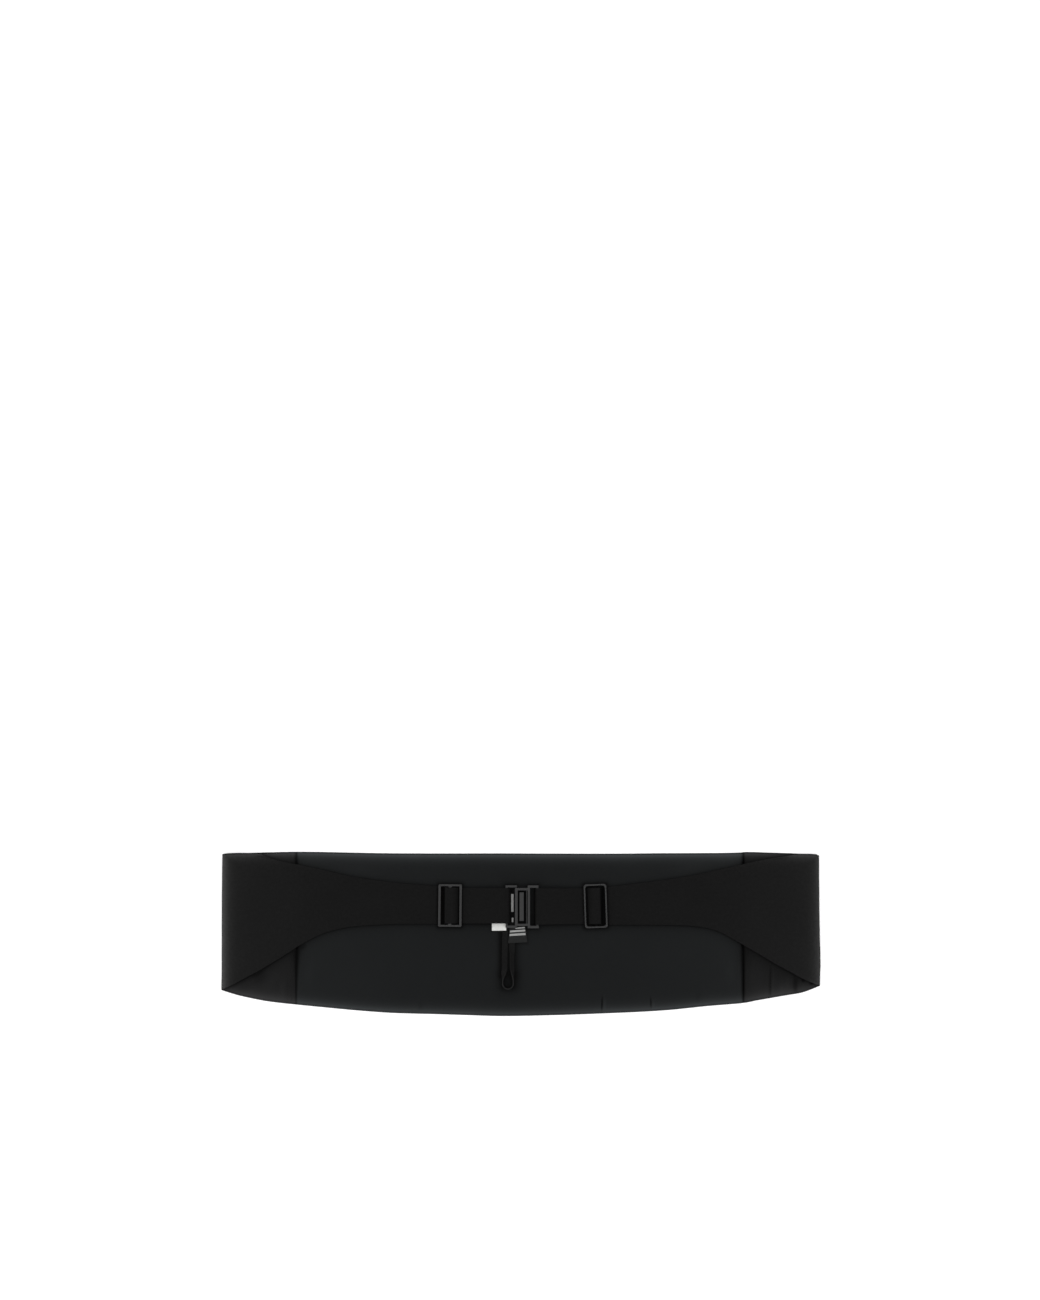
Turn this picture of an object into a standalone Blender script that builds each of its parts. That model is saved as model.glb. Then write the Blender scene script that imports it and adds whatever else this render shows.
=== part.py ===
"""A dress cummerbund, fastened into its loop and laid flat with its outer face down.

The front panel lies on the surface. At each end its wing goes out to a fold, comes back over the
panel, tapers into a strap, and runs through a slide to the clasp over the panel's middle.

X runs along the band, Y up the garment and Z up from the surface. The origin is under the middle.
The sizes below are in millimetres, and the meshes are in metres.
"""

import math

import bmesh
import bpy
import numpy as np
from mathutils import Matrix, Vector

MM = 0.001

# Driving dimensions.
HALF_LENGTH = 215.0  # middle to fold: a quarter of the waist
LEFT_SEAM = 161.9  # middle to the seam between panel and wing
RIGHT_SEAM = 159.8
GAP = 0.3  # between pieces that touch
SHELL = 1.2  # thickness of the panel's outer cloth and its interlining
LINING = 1.1
WING = 1.2  # two plies, turned at the edges
STRAP = 1.0
TAPE = 1.0  # labels and the button loop
BAR = 1.3  # slide and clasp bars, top to bottom
EDGE_CHAMFER = 0.3  # at the edges of wings, straps and labels

# Heights, each worked out from the layers below it.
PANEL_TOP = SHELL + GAP + LINING
LAID = PANEL_TOP + GAP  # lower side of what lies on the panel
WING_MID = LAID + WING / 2
RETURN_MID = LAID + STRAP / 2
STRAP_MID = RETURN_MID + STRAP + GAP  # also the lower run of the strap, over the labels
BAR_LOW = STRAP_MID + STRAP / 2 + GAP
BAR_TOP = BAR_LOW + BAR
OVER_BAR_MID = BAR_TOP + GAP + STRAP / 2

# Outline of the garment as it lies: x, top edge, bottom edge.
OUTLINE = (
    (-215.0, 57.7, -40.2),
    (-201.0, 58.0, -44.3),
    (-183.0, 58.5, -47.8),
    (-162.0, 58.7, -50.0),
    (-119.0, 58.0, -54.3),
    (-84.0, 57.6, -56.6),
    (-41.0, 57.5, -58.0),
    (-12.0, 57.5, -58.7),
    (20.0, 57.5, -58.1),
    (67.0, 57.5, -56.5),
    (106.0, 57.7, -54.2),
    (132.0, 58.1, -51.6),
    (162.0, 58.7, -48.6),
    (188.0, 57.9, -44.2),
    (205.0, 57.5, -40.7),
    (215.0, 57.4, -37.2),
)

# Upper layer of each wing and its strap: distance from the middle, top edge, bottom edge.
LEFT_WING = (
    (215.0, 57.7, -40.2),
    (202.0, 58.1, -33.6),
    (190.0, 57.9, -27.5),
    (173.0, 53.4, -17.5),
    (156.0, 49.3, -6.7),
    (139.0, 45.1, 1.1),
    (122.0, 41.3, 4.8),
    (104.0, 38.5, 6.2),
    (87.0, 36.4, 6.8),
    (61.0, 34.3, 6.9),
    (57.0, 33.5, 7.1),
    (43.0, 33.0, 7.2),
    (8.0, 32.7, 7.3),
)
RIGHT_WING = (
    (215.0, 57.4, -37.2),
    (203.0, 57.2, -31.8),
    (187.0, 55.1, -23.9),
    (170.0, 52.2, -14.0),
    (152.0, 48.1, -3.6),
    (143.0, 46.2, 1.2),
    (133.0, 43.9, 4.1),
    (117.0, 40.8, 5.8),
    (91.0, 37.1, 6.2),
    (65.0, 34.0, 6.2),
    (60.0, 33.2, 6.8),
    (46.0, 32.7, 6.8),
    (8.0, 32.6, 6.3),
)

# Panel: how it thins to its edges.
EDGE_REACH = 9.0
EDGE_STEPS = (0.0, 0.35, 1.2, 2.8, 5.4, 9.0)
EDGE_HEIGHT = 1.6  # both cloths together, at the top and bottom edges
SEAM_REACH = 5.0
SEAM_HEIGHT = 2.0
PANEL_STEP = 11.0

# The fold at each end.
FOLD_RADIUS = 1.6
FOLD_CROWN = 0.6  # how far the upper layer stands up just inside the fold
FOLD_CROWN_IN = 8.5
FOLD_SETTLED_IN = 26.0

# Slides: a frame with a middle bar, for the strap.
SLIDE_WIDTH = 17.2
SLIDE_HEIGHT = 31.1
SLIDE_SIDE_BAR = 2.0
SLIDE_END_BAR = 1.9
SLIDE_MIDDLE_BAR = 2.2
SLIDE_CORNER = 1.2
HARD_EDGE = 0.25
LEFT_SLIDE = (-51.0, 20.3, 0.0)  # x, y, turn in degrees
RIGHT_SLIDE = (53.8, 20.0, 1.9)

# Clasp.
CLASP_Y = 19.5
CLASP_HEIGHT = 31.0
CLASP_ARM = 1.9
HOOK_STRAP_END = 8.85  # middle of the garment to where the left strap turns
EYE_STRAP_END = 10.2
STRAP_BAR = 1.45  # the clasp bars inside the straps, across
HOOK_FRONT = (-4.6, -2.6)  # x of the hook's front bar, under the eye
TONGUE = (-0.9, 2.1)
TONGUE_HALF = 10.65
TONGUE_NECK_HALF = 6.0
EYE_FRAME = (-4.2, 6.6)
EYE_WINDOW = (-2.4, 5.2)
EYE_HALF = 13.3
EYE_END_BAR = 1.5
HOOK_LOW = LAID + TAPE + 2 * GAP
EYE_LOW = HOOK_LOW + BAR + GAP

# Button loop.
LOOP_X = -9.2
LOOP_END = -40.3
LOOP_TOP = 7.9
LOOP_TAPE = 4.3  # width of the tape
LOOP_LEG_HALF = 2.6  # middle of the loop to the middle of a leg
LOOP_EYE_HALF = 3.0
LOOP_EYE_FLAT = 1.5  # above the end's bend, the length that stands fully on edge
LOOP_ROLL_LENGTH = 11.0  # then the length over which the tape rolls flat again

# Labels: x range, y range, turn in degrees about the upper left corner.
BRAND_LABEL = ((-8.4, 4.2), (8.4, 31.4), 0.0)
SIZE_TAG = ((-20.7, -12.5), (2.6, 6.9), 0.0)
CARE_LABEL = ((-9.0, 4.1), (-6.0, 3.4), 2.5)


def clear_scene():
    """Removes what the scene holds, so that only the cummerbund is left."""
    for obj in list(bpy.data.objects):
        bpy.data.objects.remove(obj, do_unlink=True)


def new_collection(name):
    collection = bpy.data.collections.new(name)
    bpy.context.scene.collection.children.link(collection)
    return collection


def finish(name, color, roughness, metallic=0.0):
    """A plain material of the piece's own."""
    material = bpy.data.materials.new(name)
    material.use_nodes = True
    shader = material.node_tree.nodes["Principled BSDF"]
    shader.inputs["Base Color"].default_value = (*color, 1.0)
    shader.inputs["Roughness"].default_value = roughness
    shader.inputs["Metallic"].default_value = metallic
    return material


def add_object(name, data, collection, material):
    obj = bpy.data.objects.new(name, data)
    data.materials.append(material)
    collection.objects.link(obj)
    return obj


def smooth_curve(rows, column, x):
    """Reads one column of a table at x, on a monotone cubic through its rows."""
    table = np.array(sorted(rows))
    xs = table[:, 0]
    ys = table[:, column]
    width = np.diff(xs)
    rise = np.diff(ys) / width
    slope = np.zeros(len(xs))
    same_way = rise[:-1] * rise[1:] > 0
    total = rise[:-1] + rise[1:]
    slope[1:-1][same_way] = 2 * rise[:-1][same_way] * rise[1:][same_way] / total[same_way]
    slope[0] = rise[0]
    slope[-1] = rise[-1]
    x = np.clip(x, xs[0], xs[-1])
    at = np.clip(np.searchsorted(xs, x) - 1, 0, len(width) - 1)
    t = (x - xs[at]) / width[at]
    held = ys[at] * (1 - t) ** 2 * (1 + 2 * t) + ys[at + 1] * t**2 * (3 - 2 * t)
    return held + width[at] * t * (1 - t) * (slope[at] * (1 - t) - slope[at + 1] * t)


def ease(t):
    """0 to 1 with a level start and end."""
    t = np.clip(t, 0.0, 1.0)
    return t * t * (3 - 2 * t)


def loft(name, rings, collection, material):
    """A closed solid through rings of equal length, with a flat cap on the first and the last."""
    rings = np.array(rings) * MM
    around = rings.shape[1]
    mesh = bpy.data.meshes.new(name)
    work = bmesh.new()
    verts = [[work.verts.new(point) for point in ring] for ring in rings]
    for near, far in zip(verts[:-1], verts[1:]):
        for i in range(around):
            j = (i + 1) % around
            work.faces.new((near[i], near[j], far[j], far[i]))
    work.faces.new(verts[0])
    work.faces.new(verts[-1])
    bmesh.ops.recalc_face_normals(work, faces=work.faces)
    work.to_mesh(mesh)
    work.free()
    mesh.shade_smooth()
    mesh.set_sharp_from_angle(angle=math.radians(40))
    return add_object(name, mesh, collection, material)


def wall_ring(edges, low, high, chamfer):
    """A cloth wall's section: its two sides, with the edges chamfered. Pairs of across, up."""
    left, right = edges
    return (
        (left + chamfer, low),
        (right - chamfer, low),
        (right, low + chamfer),
        (right, high - chamfer),
        (right - chamfer, high),
        (left + chamfer, high),
        (left, high - chamfer),
        (left, low + chamfer),
    )


def panel_stations():
    """X of the panel's sections, closer together at the seams."""
    start = -LEFT_SEAM + GAP / 2
    end = RIGHT_SEAM - GAP / 2
    inner = np.linspace(start + SEAM_REACH, end - SEAM_REACH, 2 + int((end - start) / PANEL_STEP))
    near = np.array((0.0, 1.2, 2.8))
    return np.concatenate([start + near, inner, end - near[::-1]])


def panel_height(x, in_from_edge):
    """Height of the lined panel: a quarter ellipse up from its edges, pressed down at the seams."""
    rise = np.sqrt(1 - (1 - in_from_edge / EDGE_REACH) ** 2)
    height = EDGE_HEIGHT + (PANEL_TOP - EDGE_HEIGHT) * rise
    from_seam = min(x + LEFT_SEAM, RIGHT_SEAM - x)
    pressed = SEAM_HEIGHT + (PANEL_TOP - SEAM_HEIGHT) * ease(from_seam / SEAM_REACH)
    return np.minimum(height, pressed)


def make_panel(parts):
    """The front panel: its outer cloth, flat on the surface, and the lining over it."""
    steps = np.array(EDGE_STEPS)
    shell_rings = []
    lining_rings = []
    for x in panel_stations():
        top = smooth_curve(OUTLINE, 1, x)
        bottom = smooth_curve(OUTLINE, 2, x)
        across = np.concatenate([bottom + steps, top - steps[::-1]])
        high = panel_height(x, np.concatenate([steps, steps[::-1]]))
        between = high * SHELL / PANEL_TOP
        shell = [(x, y, z) for y, z in zip(across, between)]
        shell += [(x, top - steps[1], 0.0), (x, bottom + steps[1], 0.0)]
        shell_rings.append(shell)
        lining = [(x, y, z) for y, z in zip(across, high)]
        lining += [(x, y, z + GAP) for y, z in zip(across[::-1], between[::-1])]
        lining_rings.append(lining)
    loft("front_shell", shell_rings, parts, finish("shell satin", (0.008, 0.008, 0.009), 0.42))
    loft("front_lining", lining_rings, parts, finish("lining satin", (0.013, 0.014, 0.015), 0.45))


def bend(corners, run_step, arc_step):
    """Straight runs joined by arcs. Each corner is (along, up, radius).

    Returns rows of along, up and the direction's two parts.
    """
    rows = []
    start = Vector(corners[0][:2])
    for before, corner, after in zip(corners[:-2], corners[1:-1], corners[2:]):
        at = Vector(corner[:2])
        radius = corner[2]
        way_in = (at - Vector(before[:2])).normalized()
        way_out = (Vector(after[:2]) - at).normalized()
        turn = math.atan2(way_in.x * way_out.y - way_in.y * way_out.x, way_in.dot(way_out))
        back = radius * math.tan(abs(turn) / 2)
        arc_start = at - way_in * back
        runs = max(1, math.ceil((arc_start - start).length / run_step))
        for i in range(runs):
            rows.append((*start.lerp(arc_start, i / runs), *way_in))
        to_centre = Vector((-way_in.y, way_in.x)) * math.copysign(radius, turn)
        arcs = max(1, math.ceil(abs(turn) / arc_step))
        for i in range(arcs):
            angle = turn * i / arcs
            cos = math.cos(angle)
            sin = math.sin(angle)
            turned = Matrix(((cos, -sin), (sin, cos)))
            at_arc = arc_start + to_centre - turned @ to_centre
            rows.append((*at_arc, *(turned @ way_in)))
        start = at + way_out * back
    end = Vector(corners[-1][:2])
    runs = max(1, math.ceil((end - start).length / run_step))
    for i in range(runs + 1):
        rows.append((*start.lerp(end, i / runs), *way_out))
    return np.array(rows)


def wing_route(seam, slide, strap_end):
    """The middle of a wing's wall, from its seam with the panel to the strap's sewn end.

    Corners are distance from the garment's middle, height, and the radius of the bend.
    """
    fold = HALF_LENGTH - WING / 2
    crown = WING / 2 + 2 * FOLD_RADIUS + FOLD_CROWN
    turn = strap_end + STRAP / 2
    turn_radius = (OVER_BAR_MID - STRAP_MID) / 2
    return (
        (seam + GAP / 2, WING / 2, 0.0),
        (fold, WING / 2, FOLD_RADIUS),
        (fold, WING / 2 + 2 * FOLD_RADIUS, FOLD_RADIUS * 0.98),
        (HALF_LENGTH - FOLD_CROWN_IN, crown, 12.0),
        (HALF_LENGTH - FOLD_SETTLED_IN, WING_MID, 40.0),
        (slide + 4.7, WING_MID, 1.0),
        (slide + 3.4, OVER_BAR_MID, 1.0),
        (slide - 2.2, OVER_BAR_MID, 1.5),
        (slide - 5.6, STRAP_MID, 1.5),
        (slide - 9.0, STRAP_MID, 10.0),
        (turn + 5.0, OVER_BAR_MID, 10.0),
        (turn, OVER_BAR_MID, turn_radius),
        (turn, STRAP_MID, turn_radius),
        (turn + 5.0, STRAP_MID, 10.0),
        (slide - 9.5, RETURN_MID, 10.0),
        (slide - 4.2, RETURN_MID, 1.5),
        (slide - 0.4, STRAP_MID, 0.0),
    )


def make_wing(name, side, seam, slide, strap_end, table, parts, material):
    """A wing and its strap: a wall along wing_route, as wide as the tables say.

    side is -1 on the left and 1 on the right. Up to the fold the wing is as wide as the garment.
    """
    rows = bend(wing_route(seam, slide, strap_end), run_step=9.0, arc_step=math.radians(24))
    fold_at = int(np.argmax(rows[:, 0]))
    rings = []
    for index, (out, up, heading_out, heading_up) in enumerate(rows):
        edges = OUTLINE if index < fold_at else table
        x = side * out if index < fold_at else out
        width = (smooth_curve(edges, 2, x), smooth_curve(edges, 1, x))
        half = (WING if out > slide + 4.0 else STRAP) / 2
        ring = wall_ring(width, -half, half, EDGE_CHAMFER)
        rings.append([(side * (out - heading_up * off), y, up + heading_out * off) for y, off in ring])
    return loft(name, rings, parts, material)


def rounded_rectangle(curve, low, high, radius, arc_points=4):
    """Adds a closed outline with round corners to a flat curve."""
    centres = (
        (high[0] - radius, high[1] - radius, 0),
        (low[0] + radius, high[1] - radius, 90),
        (low[0] + radius, low[1] + radius, 180),
        (high[0] - radius, low[1] + radius, 270),
    )
    points = []
    for x, y, first in centres:
        for step in range(arc_points + 1):
            angle = math.radians(first + 90 * step / arc_points)
            points.append((x + radius * math.cos(angle), y + radius * math.sin(angle)))
    spline = curve.splines.new("POLY")
    spline.points.add(len(points) - 1)
    for point, (x, y) in zip(spline.points, points):
        point.co = (x * MM, y * MM, 0.0, 1.0)
    spline.use_cyclic_u = True


def add_hard_edges(obj, clamped=True):
    """Welds a flat curve's caps and rounds the edges of a hard piece."""
    weld = obj.modifiers.new("weld", "WELD")
    weld.merge_threshold = 0.00001
    bevel = obj.modifiers.new("edges", "BEVEL")
    bevel.width = HARD_EDGE * MM
    bevel.segments = 2
    bevel.use_clamp_overlap = clamped
    bevel.limit_method = "ANGLE"
    bevel.angle_limit = math.radians(40)


def make_slide(name, place, parts, material):
    """A slide: a plate with two slots, one each side of its middle bar."""
    curve = bpy.data.curves.new(name, "CURVE")
    curve.dimensions = "2D"
    curve.fill_mode = "BOTH"
    curve.extrude = BAR / 2 * MM
    half = (SLIDE_WIDTH / 2, SLIDE_HEIGHT / 2)
    slot_out = half[0] - SLIDE_SIDE_BAR
    slot_in = SLIDE_MIDDLE_BAR / 2
    slot_end = half[1] - SLIDE_END_BAR
    rounded_rectangle(curve, (-half[0], -half[1]), half, SLIDE_CORNER)
    rounded_rectangle(curve, (-slot_out, -slot_end), (-slot_in, slot_end), SLIDE_CORNER / 2)
    rounded_rectangle(curve, (slot_in, -slot_end), (slot_out, slot_end), SLIDE_CORNER / 2)
    slide = add_object(name, curve, parts, material)
    x, y, turn = place
    slide.location = (x * MM, y * MM, (BAR_LOW + BAR_TOP) / 2 * MM)
    slide.rotation_euler.z = math.radians(turn)
    add_hard_edges(slide)


def box(name, low, high, collection, material):
    """A box between two corners."""
    mesh = bpy.data.meshes.new(name)
    work = bmesh.new()
    bmesh.ops.create_cube(work, size=1.0)
    size = Vector(high) - Vector(low)
    bmesh.ops.scale(work, vec=size * MM, verts=work.verts)
    work.to_mesh(mesh)
    work.free()
    obj = add_object(name, mesh, collection, material)
    obj.location = (Vector(high) + Vector(low)) / 2 * MM
    return obj


def join_bars(name, bars, parts, cutters, material):
    """One solid from overlapping bars. A bar is its x, y and z ranges, y from the clasp's middle."""
    made = []
    for number, (across, along, up) in enumerate(bars):
        low = (across[0], CLASP_Y + along[0], up[0])
        high = (across[1], CLASP_Y + along[1], up[1])
        first = number == 0
        bar_name = name if first else f"{name}_bar_{number}"
        made.append(box(bar_name, low, high, parts if first else cutters, material))
    whole = made[0]
    for bar in made[1:]:
        bar.hide_render = True
        bar.display_type = "WIRE"
        union = whole.modifiers.new(bar.name, "BOOLEAN")
        union.operation = "UNION"
        union.object = bar
    flat = whole.modifiers.new("one face on each side", "DECIMATE")
    flat.decimate_type = "DISSOLVE"
    flat.angle_limit = math.radians(1)
    add_hard_edges(whole, clamped=False)


def make_clasp(parts, cutters, material):
    """The two halves of the clasp, fastened.

    The hook's front bar passes under the eye, and its tongue stands up in the eye's window.
    """
    outer = CLASP_HEIGHT / 2
    inner = outer - CLASP_ARM
    whole = (-outer, outer)
    upper_arm = (inner, outer)
    lower_arm = (-outer, -inner)
    bar_edge = HOOK_STRAP_END + STRAP + GAP + 0.6
    hook_bar = (-bar_edge - STRAP_BAR, -bar_edge)
    hook_span = (hook_bar[0], HOOK_FRONT[1])
    hook_low = (HOOK_LOW, HOOK_LOW + BAR)
    hook_arm_up = (HOOK_LOW, BAR_TOP)
    join_bars(
        "clasp_hook",
        (
            (hook_bar, whole, (BAR_LOW, BAR_TOP)),
            (hook_span, upper_arm, hook_arm_up),
            (hook_span, lower_arm, hook_arm_up),
            (HOOK_FRONT, whole, hook_low),
            ((HOOK_FRONT[0] + 0.5, TONGUE[1]), (-TONGUE_NECK_HALF, TONGUE_NECK_HALF), hook_low),
            (TONGUE, (-TONGUE_HALF, TONGUE_HALF), (HOOK_LOW, EYE_LOW + BAR)),
        ),
        parts,
        cutters,
        material,
    )
    bar_edge = EYE_STRAP_END + STRAP + GAP + 0.6
    eye_bar = (bar_edge, bar_edge + STRAP_BAR)
    eye_span = (EYE_WINDOW[1], eye_bar[1])
    eye_up = (EYE_LOW, EYE_LOW + BAR)
    join_bars(
        "clasp_eye",
        (
            ((EYE_WINDOW[1], EYE_FRAME[1]), whole, (BAR_LOW, EYE_LOW + BAR)),
            (eye_bar, whole, (BAR_LOW, BAR_TOP)),
            (eye_span, upper_arm, (BAR_LOW, BAR_TOP)),
            (eye_span, lower_arm, (BAR_LOW, BAR_TOP)),
            ((EYE_FRAME[0], EYE_WINDOW[0]), (-EYE_HALF, EYE_HALF), eye_up),
            ((EYE_FRAME[0], EYE_WINDOW[1] + 0.5), (EYE_HALF - EYE_END_BAR, EYE_HALF), eye_up),
            ((EYE_FRAME[0], EYE_WINDOW[1] + 0.5), (-EYE_HALF, EYE_END_BAR - EYE_HALF), eye_up),
        ),
        parts,
        cutters,
        material,
    )


def make_label(name, place, lift, parts, material):
    """A small woven label. lift gives how far it is raised, at each x, by what lies under it."""
    (left, right), (bottom, top), turn = place
    cos = math.cos(math.radians(turn))
    sin = math.sin(math.radians(turn))
    rings = []
    for x in np.linspace(left, right, 9):
        low = LAID + lift(x)
        ring = []
        for y, z in wall_ring((bottom, top), low, low + TAPE, EDGE_CHAMFER):
            across = (x - left) * cos - (y - top) * sin
            along = (x - left) * sin + (y - top) * cos
            ring.append((left + across, top + along, z))
        rings.append(ring)
    loft(name, rings, parts, material)


def make_labels(parts):
    """The labels: one flat under the clasp, and two that rest on the loop's legs beside them."""
    on_loop = TAPE + GAP
    outer_leg = LOOP_X - LOOP_LEG_HALF - LOOP_TAPE / 2
    inner_leg = LOOP_X + LOOP_LEG_HALF + LOOP_TAPE / 2
    black = finish("label weave", (0.012, 0.012, 0.013), 0.7)
    white = finish("tag weave", (0.75, 0.75, 0.74), 0.8)
    make_label("brand_label", BRAND_LABEL, lambda x: 0.0, parts, black)
    make_label("size_tag", SIZE_TAG, lambda x: on_loop * ease((x - outer_leg + 4.5) / 4.0), parts, white)
    make_label("care_label", CARE_LABEL, lambda x: on_loop * ease((inner_leg + 4.5 - x) / 4.0), parts, black)


def make_loop(parts):
    """The button loop: a tape down one leg, round its end and up the other.

    It lies flat in the legs and rolls on edge round the end, and its lower edge stays on the panel.
    """
    turn_y = LOOP_END + LOOP_EYE_HALF + TAPE / 2
    rolling = np.linspace(LOOP_EYE_FLAT + LOOP_ROLL_LENGTH, LOOP_EYE_FLAT, 8)
    leg = np.concatenate([np.linspace(LOOP_TOP, turn_y + rolling[0], 4, endpoint=False), turn_y + rolling])
    angles = np.radians(np.arange(0, 181, 15))
    path = [(-1.0, y) for y in leg]
    path += [(-math.cos(angle), turn_y - LOOP_EYE_HALF * math.sin(angle)) for angle in angles]
    path += [(1.0, y) for y in leg[::-1]]
    rings = []
    for share, y in path:
        above_turn = y - turn_y
        rolled = 1 - ease((above_turn - LOOP_EYE_FLAT) / LOOP_ROLL_LENGTH)
        half = LOOP_LEG_HALF + (LOOP_EYE_HALF - LOOP_LEG_HALF) * rolled
        roll = math.pi / 2 * rolled
        inward = Vector((-share, 0.0, 0.0))
        if above_turn < 0:
            inward = Vector((-share, math.sqrt(1 - share * share), 0.0))
        across = inward * math.cos(roll) + Vector((0.0, 0.0, math.sin(roll)))
        face = Vector((0.0, 0.0, math.cos(roll))) - inward * math.sin(roll)
        low = (LOOP_TAPE * math.sin(roll) + TAPE * math.cos(roll)) / 2
        centre = Vector((LOOP_X + share * half, y, LAID + low))
        corners = ((-1, -1), (1, -1), (1, 1), (-1, 1))
        rings.append([centre + across * (a * LOOP_TAPE / 2) + face * (f * TAPE / 2) for a, f in corners])
    loft("button_loop", rings, parts, finish("loop tape", (0.011, 0.011, 0.011), 0.75))


def main():
    clear_scene()
    parts = new_collection("Cummerbund")
    cutters = new_collection("Cummerbund cutters")
    make_panel(parts)
    cloth = (0.010, 0.010, 0.010)
    left_slide_out = -LEFT_SLIDE[0]
    right_slide_out = RIGHT_SLIDE[0]
    left_cloth = finish("left wing cloth", cloth, 0.85)
    right_cloth = finish("right wing cloth", cloth, 0.85)
    make_wing("wing_left", -1, LEFT_SEAM, left_slide_out, HOOK_STRAP_END, LEFT_WING, parts, left_cloth)
    make_wing("wing_right", 1, RIGHT_SEAM, right_slide_out, EYE_STRAP_END, RIGHT_WING, parts, right_cloth)
    hard = (0.045, 0.046, 0.048)
    make_slide("slide_left", LEFT_SLIDE, parts, finish("left slide", hard, 0.35))
    make_slide("slide_right", RIGHT_SLIDE, parts, finish("right slide", hard, 0.35))
    make_clasp(parts, cutters, finish("clasp", hard, 0.35))
    make_loop(parts)
    make_labels(parts)


main()
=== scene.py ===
"""Looks of a dress cummerbund: its cloth, slides, clasp, labels and loop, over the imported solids.

The fastened band lies flat with its outer face down, and the camera looks straight down at it.
X runs along the band, Y up the garment and Z up from the surface. The sizes in the tables are in
millimetres, and the meshes are in metres.
"""

import math

import bpy
import numpy as np
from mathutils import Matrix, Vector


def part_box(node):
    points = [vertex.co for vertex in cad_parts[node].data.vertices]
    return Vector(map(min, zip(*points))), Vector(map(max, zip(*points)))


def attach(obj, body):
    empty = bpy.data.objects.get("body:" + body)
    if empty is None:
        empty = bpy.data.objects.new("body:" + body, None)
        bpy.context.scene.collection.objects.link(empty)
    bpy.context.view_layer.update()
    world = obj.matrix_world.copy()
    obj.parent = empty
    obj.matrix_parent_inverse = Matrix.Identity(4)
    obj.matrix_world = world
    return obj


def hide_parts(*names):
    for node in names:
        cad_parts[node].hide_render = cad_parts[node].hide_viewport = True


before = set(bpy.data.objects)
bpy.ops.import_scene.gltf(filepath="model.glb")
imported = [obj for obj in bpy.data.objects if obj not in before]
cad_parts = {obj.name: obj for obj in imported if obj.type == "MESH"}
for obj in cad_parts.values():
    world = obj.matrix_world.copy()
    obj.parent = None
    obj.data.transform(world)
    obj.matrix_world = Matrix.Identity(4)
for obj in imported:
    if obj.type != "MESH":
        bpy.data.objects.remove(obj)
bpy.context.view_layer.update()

MM = 0.001
BODY = "root"

# Driving dimensions, the same as the solids'.
HALF_LENGTH = 215.0
# The seams are up to half a millimetre to the right of the solids', as the photo shows.
LEFT_SEAM = 161.75
RIGHT_SEAM = 160.3
GAP = 0.3
SHELL = 1.2
LINING = 1.1
WING = 1.2
STRAP = 1.0
BAR = 1.3
PANEL_TOP = SHELL + GAP + LINING
LAID = PANEL_TOP + GAP
WING_MID = LAID + WING / 2
RETURN_MID = LAID + STRAP / 2
STRAP_MID = RETURN_MID + STRAP + GAP
BAR_LOW = STRAP_MID + STRAP / 2 + GAP
BAR_TOP = BAR_LOW + BAR
OVER_BAR_MID = BAR_TOP + GAP + STRAP / 2

# Outline of the garment as it lies: x, top edge, bottom edge.
OUTLINE = (
    (-215.0, 57.7, -40.2),
    (-201.0, 58.0, -44.3),
    (-183.0, 58.5, -47.8),
    (-162.0, 58.7, -50.0),
    (-119.0, 58.0, -54.3),
    (-84.0, 57.6, -56.6),
    (-41.0, 57.5, -58.0),
    (-12.0, 57.5, -58.7),
    (20.0, 57.5, -58.1),
    (67.0, 57.5, -56.5),
    (106.0, 57.7, -54.2),
    (132.0, 58.1, -51.6),
    (162.0, 58.7, -48.6),
    (188.0, 57.9, -44.2),
    (205.0, 57.5, -40.7),
    (215.0, 57.4, -37.2),
)

# How far the rolled cloth stands proud of that outline: x, at the top edge, at the bottom edge.
PROUD = (
    (-216.0, -1.10, 0.20),
    (-214.0, -0.30, 0.50),
    (-211.0, 0.00, 0.60),
    (-190.0, 0.00, 0.75),
    (-162.0, 0.25, 1.10),
    (-131.0, 0.35, 0.90),
    (-100.0, 0.20, 1.00),
    (-60.0, 0.20, 0.60),
    (-20.0, 0.30, 0.70),
    (20.0, 0.15, 0.75),
    (60.0, 0.08, 0.70),
    (100.0, 0.25, 0.90),
    (131.0, -0.05, 0.85),
    (150.0, -0.35, 1.05),
    (158.5, -0.25, 1.20),
    (161.5, 0.10, 1.20),
    (171.0, 0.10, 0.70),
    (190.0, 0.20, 0.85),
    (202.0, 0.05, 1.15),
    (208.0, 0.05, 0.75),
    (212.0, -0.10, 0.60),
    (214.3, -0.90, 0.40),
    (216.0, -1.70, 0.10),
)

# Upper layer of each wing and its strap: distance from the middle, top edge, bottom edge.
LEFT_WING = (
    (215.0, 57.7, -40.2),
    (202.0, 58.1, -33.6),
    (190.0, 57.6, -27.5),
    (180.0, 54.2, -21.7),
    (173.0, 52.2, -17.5),
    (156.0, 48.9, -6.7),
    (139.0, 45.2, 1.1),
    (122.0, 41.3, 4.8),
    (104.0, 38.5, 6.2),
    (87.0, 36.4, 6.8),
    (61.0, 34.3, 6.9),
    (57.0, 33.5, 7.1),
    (43.0, 33.0, 7.2),
    (8.0, 32.7, 7.3),
)
RIGHT_WING = (
    (215.0, 57.4, -37.2),
    (203.0, 57.2, -31.8),
    (187.0, 55.1, -23.9),
    (170.0, 52.2, -14.0),
    (152.0, 48.1, -3.6),
    (143.0, 46.2, 1.2),
    (133.0, 43.9, 4.1),
    (117.0, 40.8, 5.8),
    (91.0, 37.1, 6.2),
    (65.0, 34.0, 6.2),
    (60.0, 33.2, 6.8),
    (46.0, 32.7, 6.8),
    (8.0, 32.6, 6.3),
)

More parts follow.
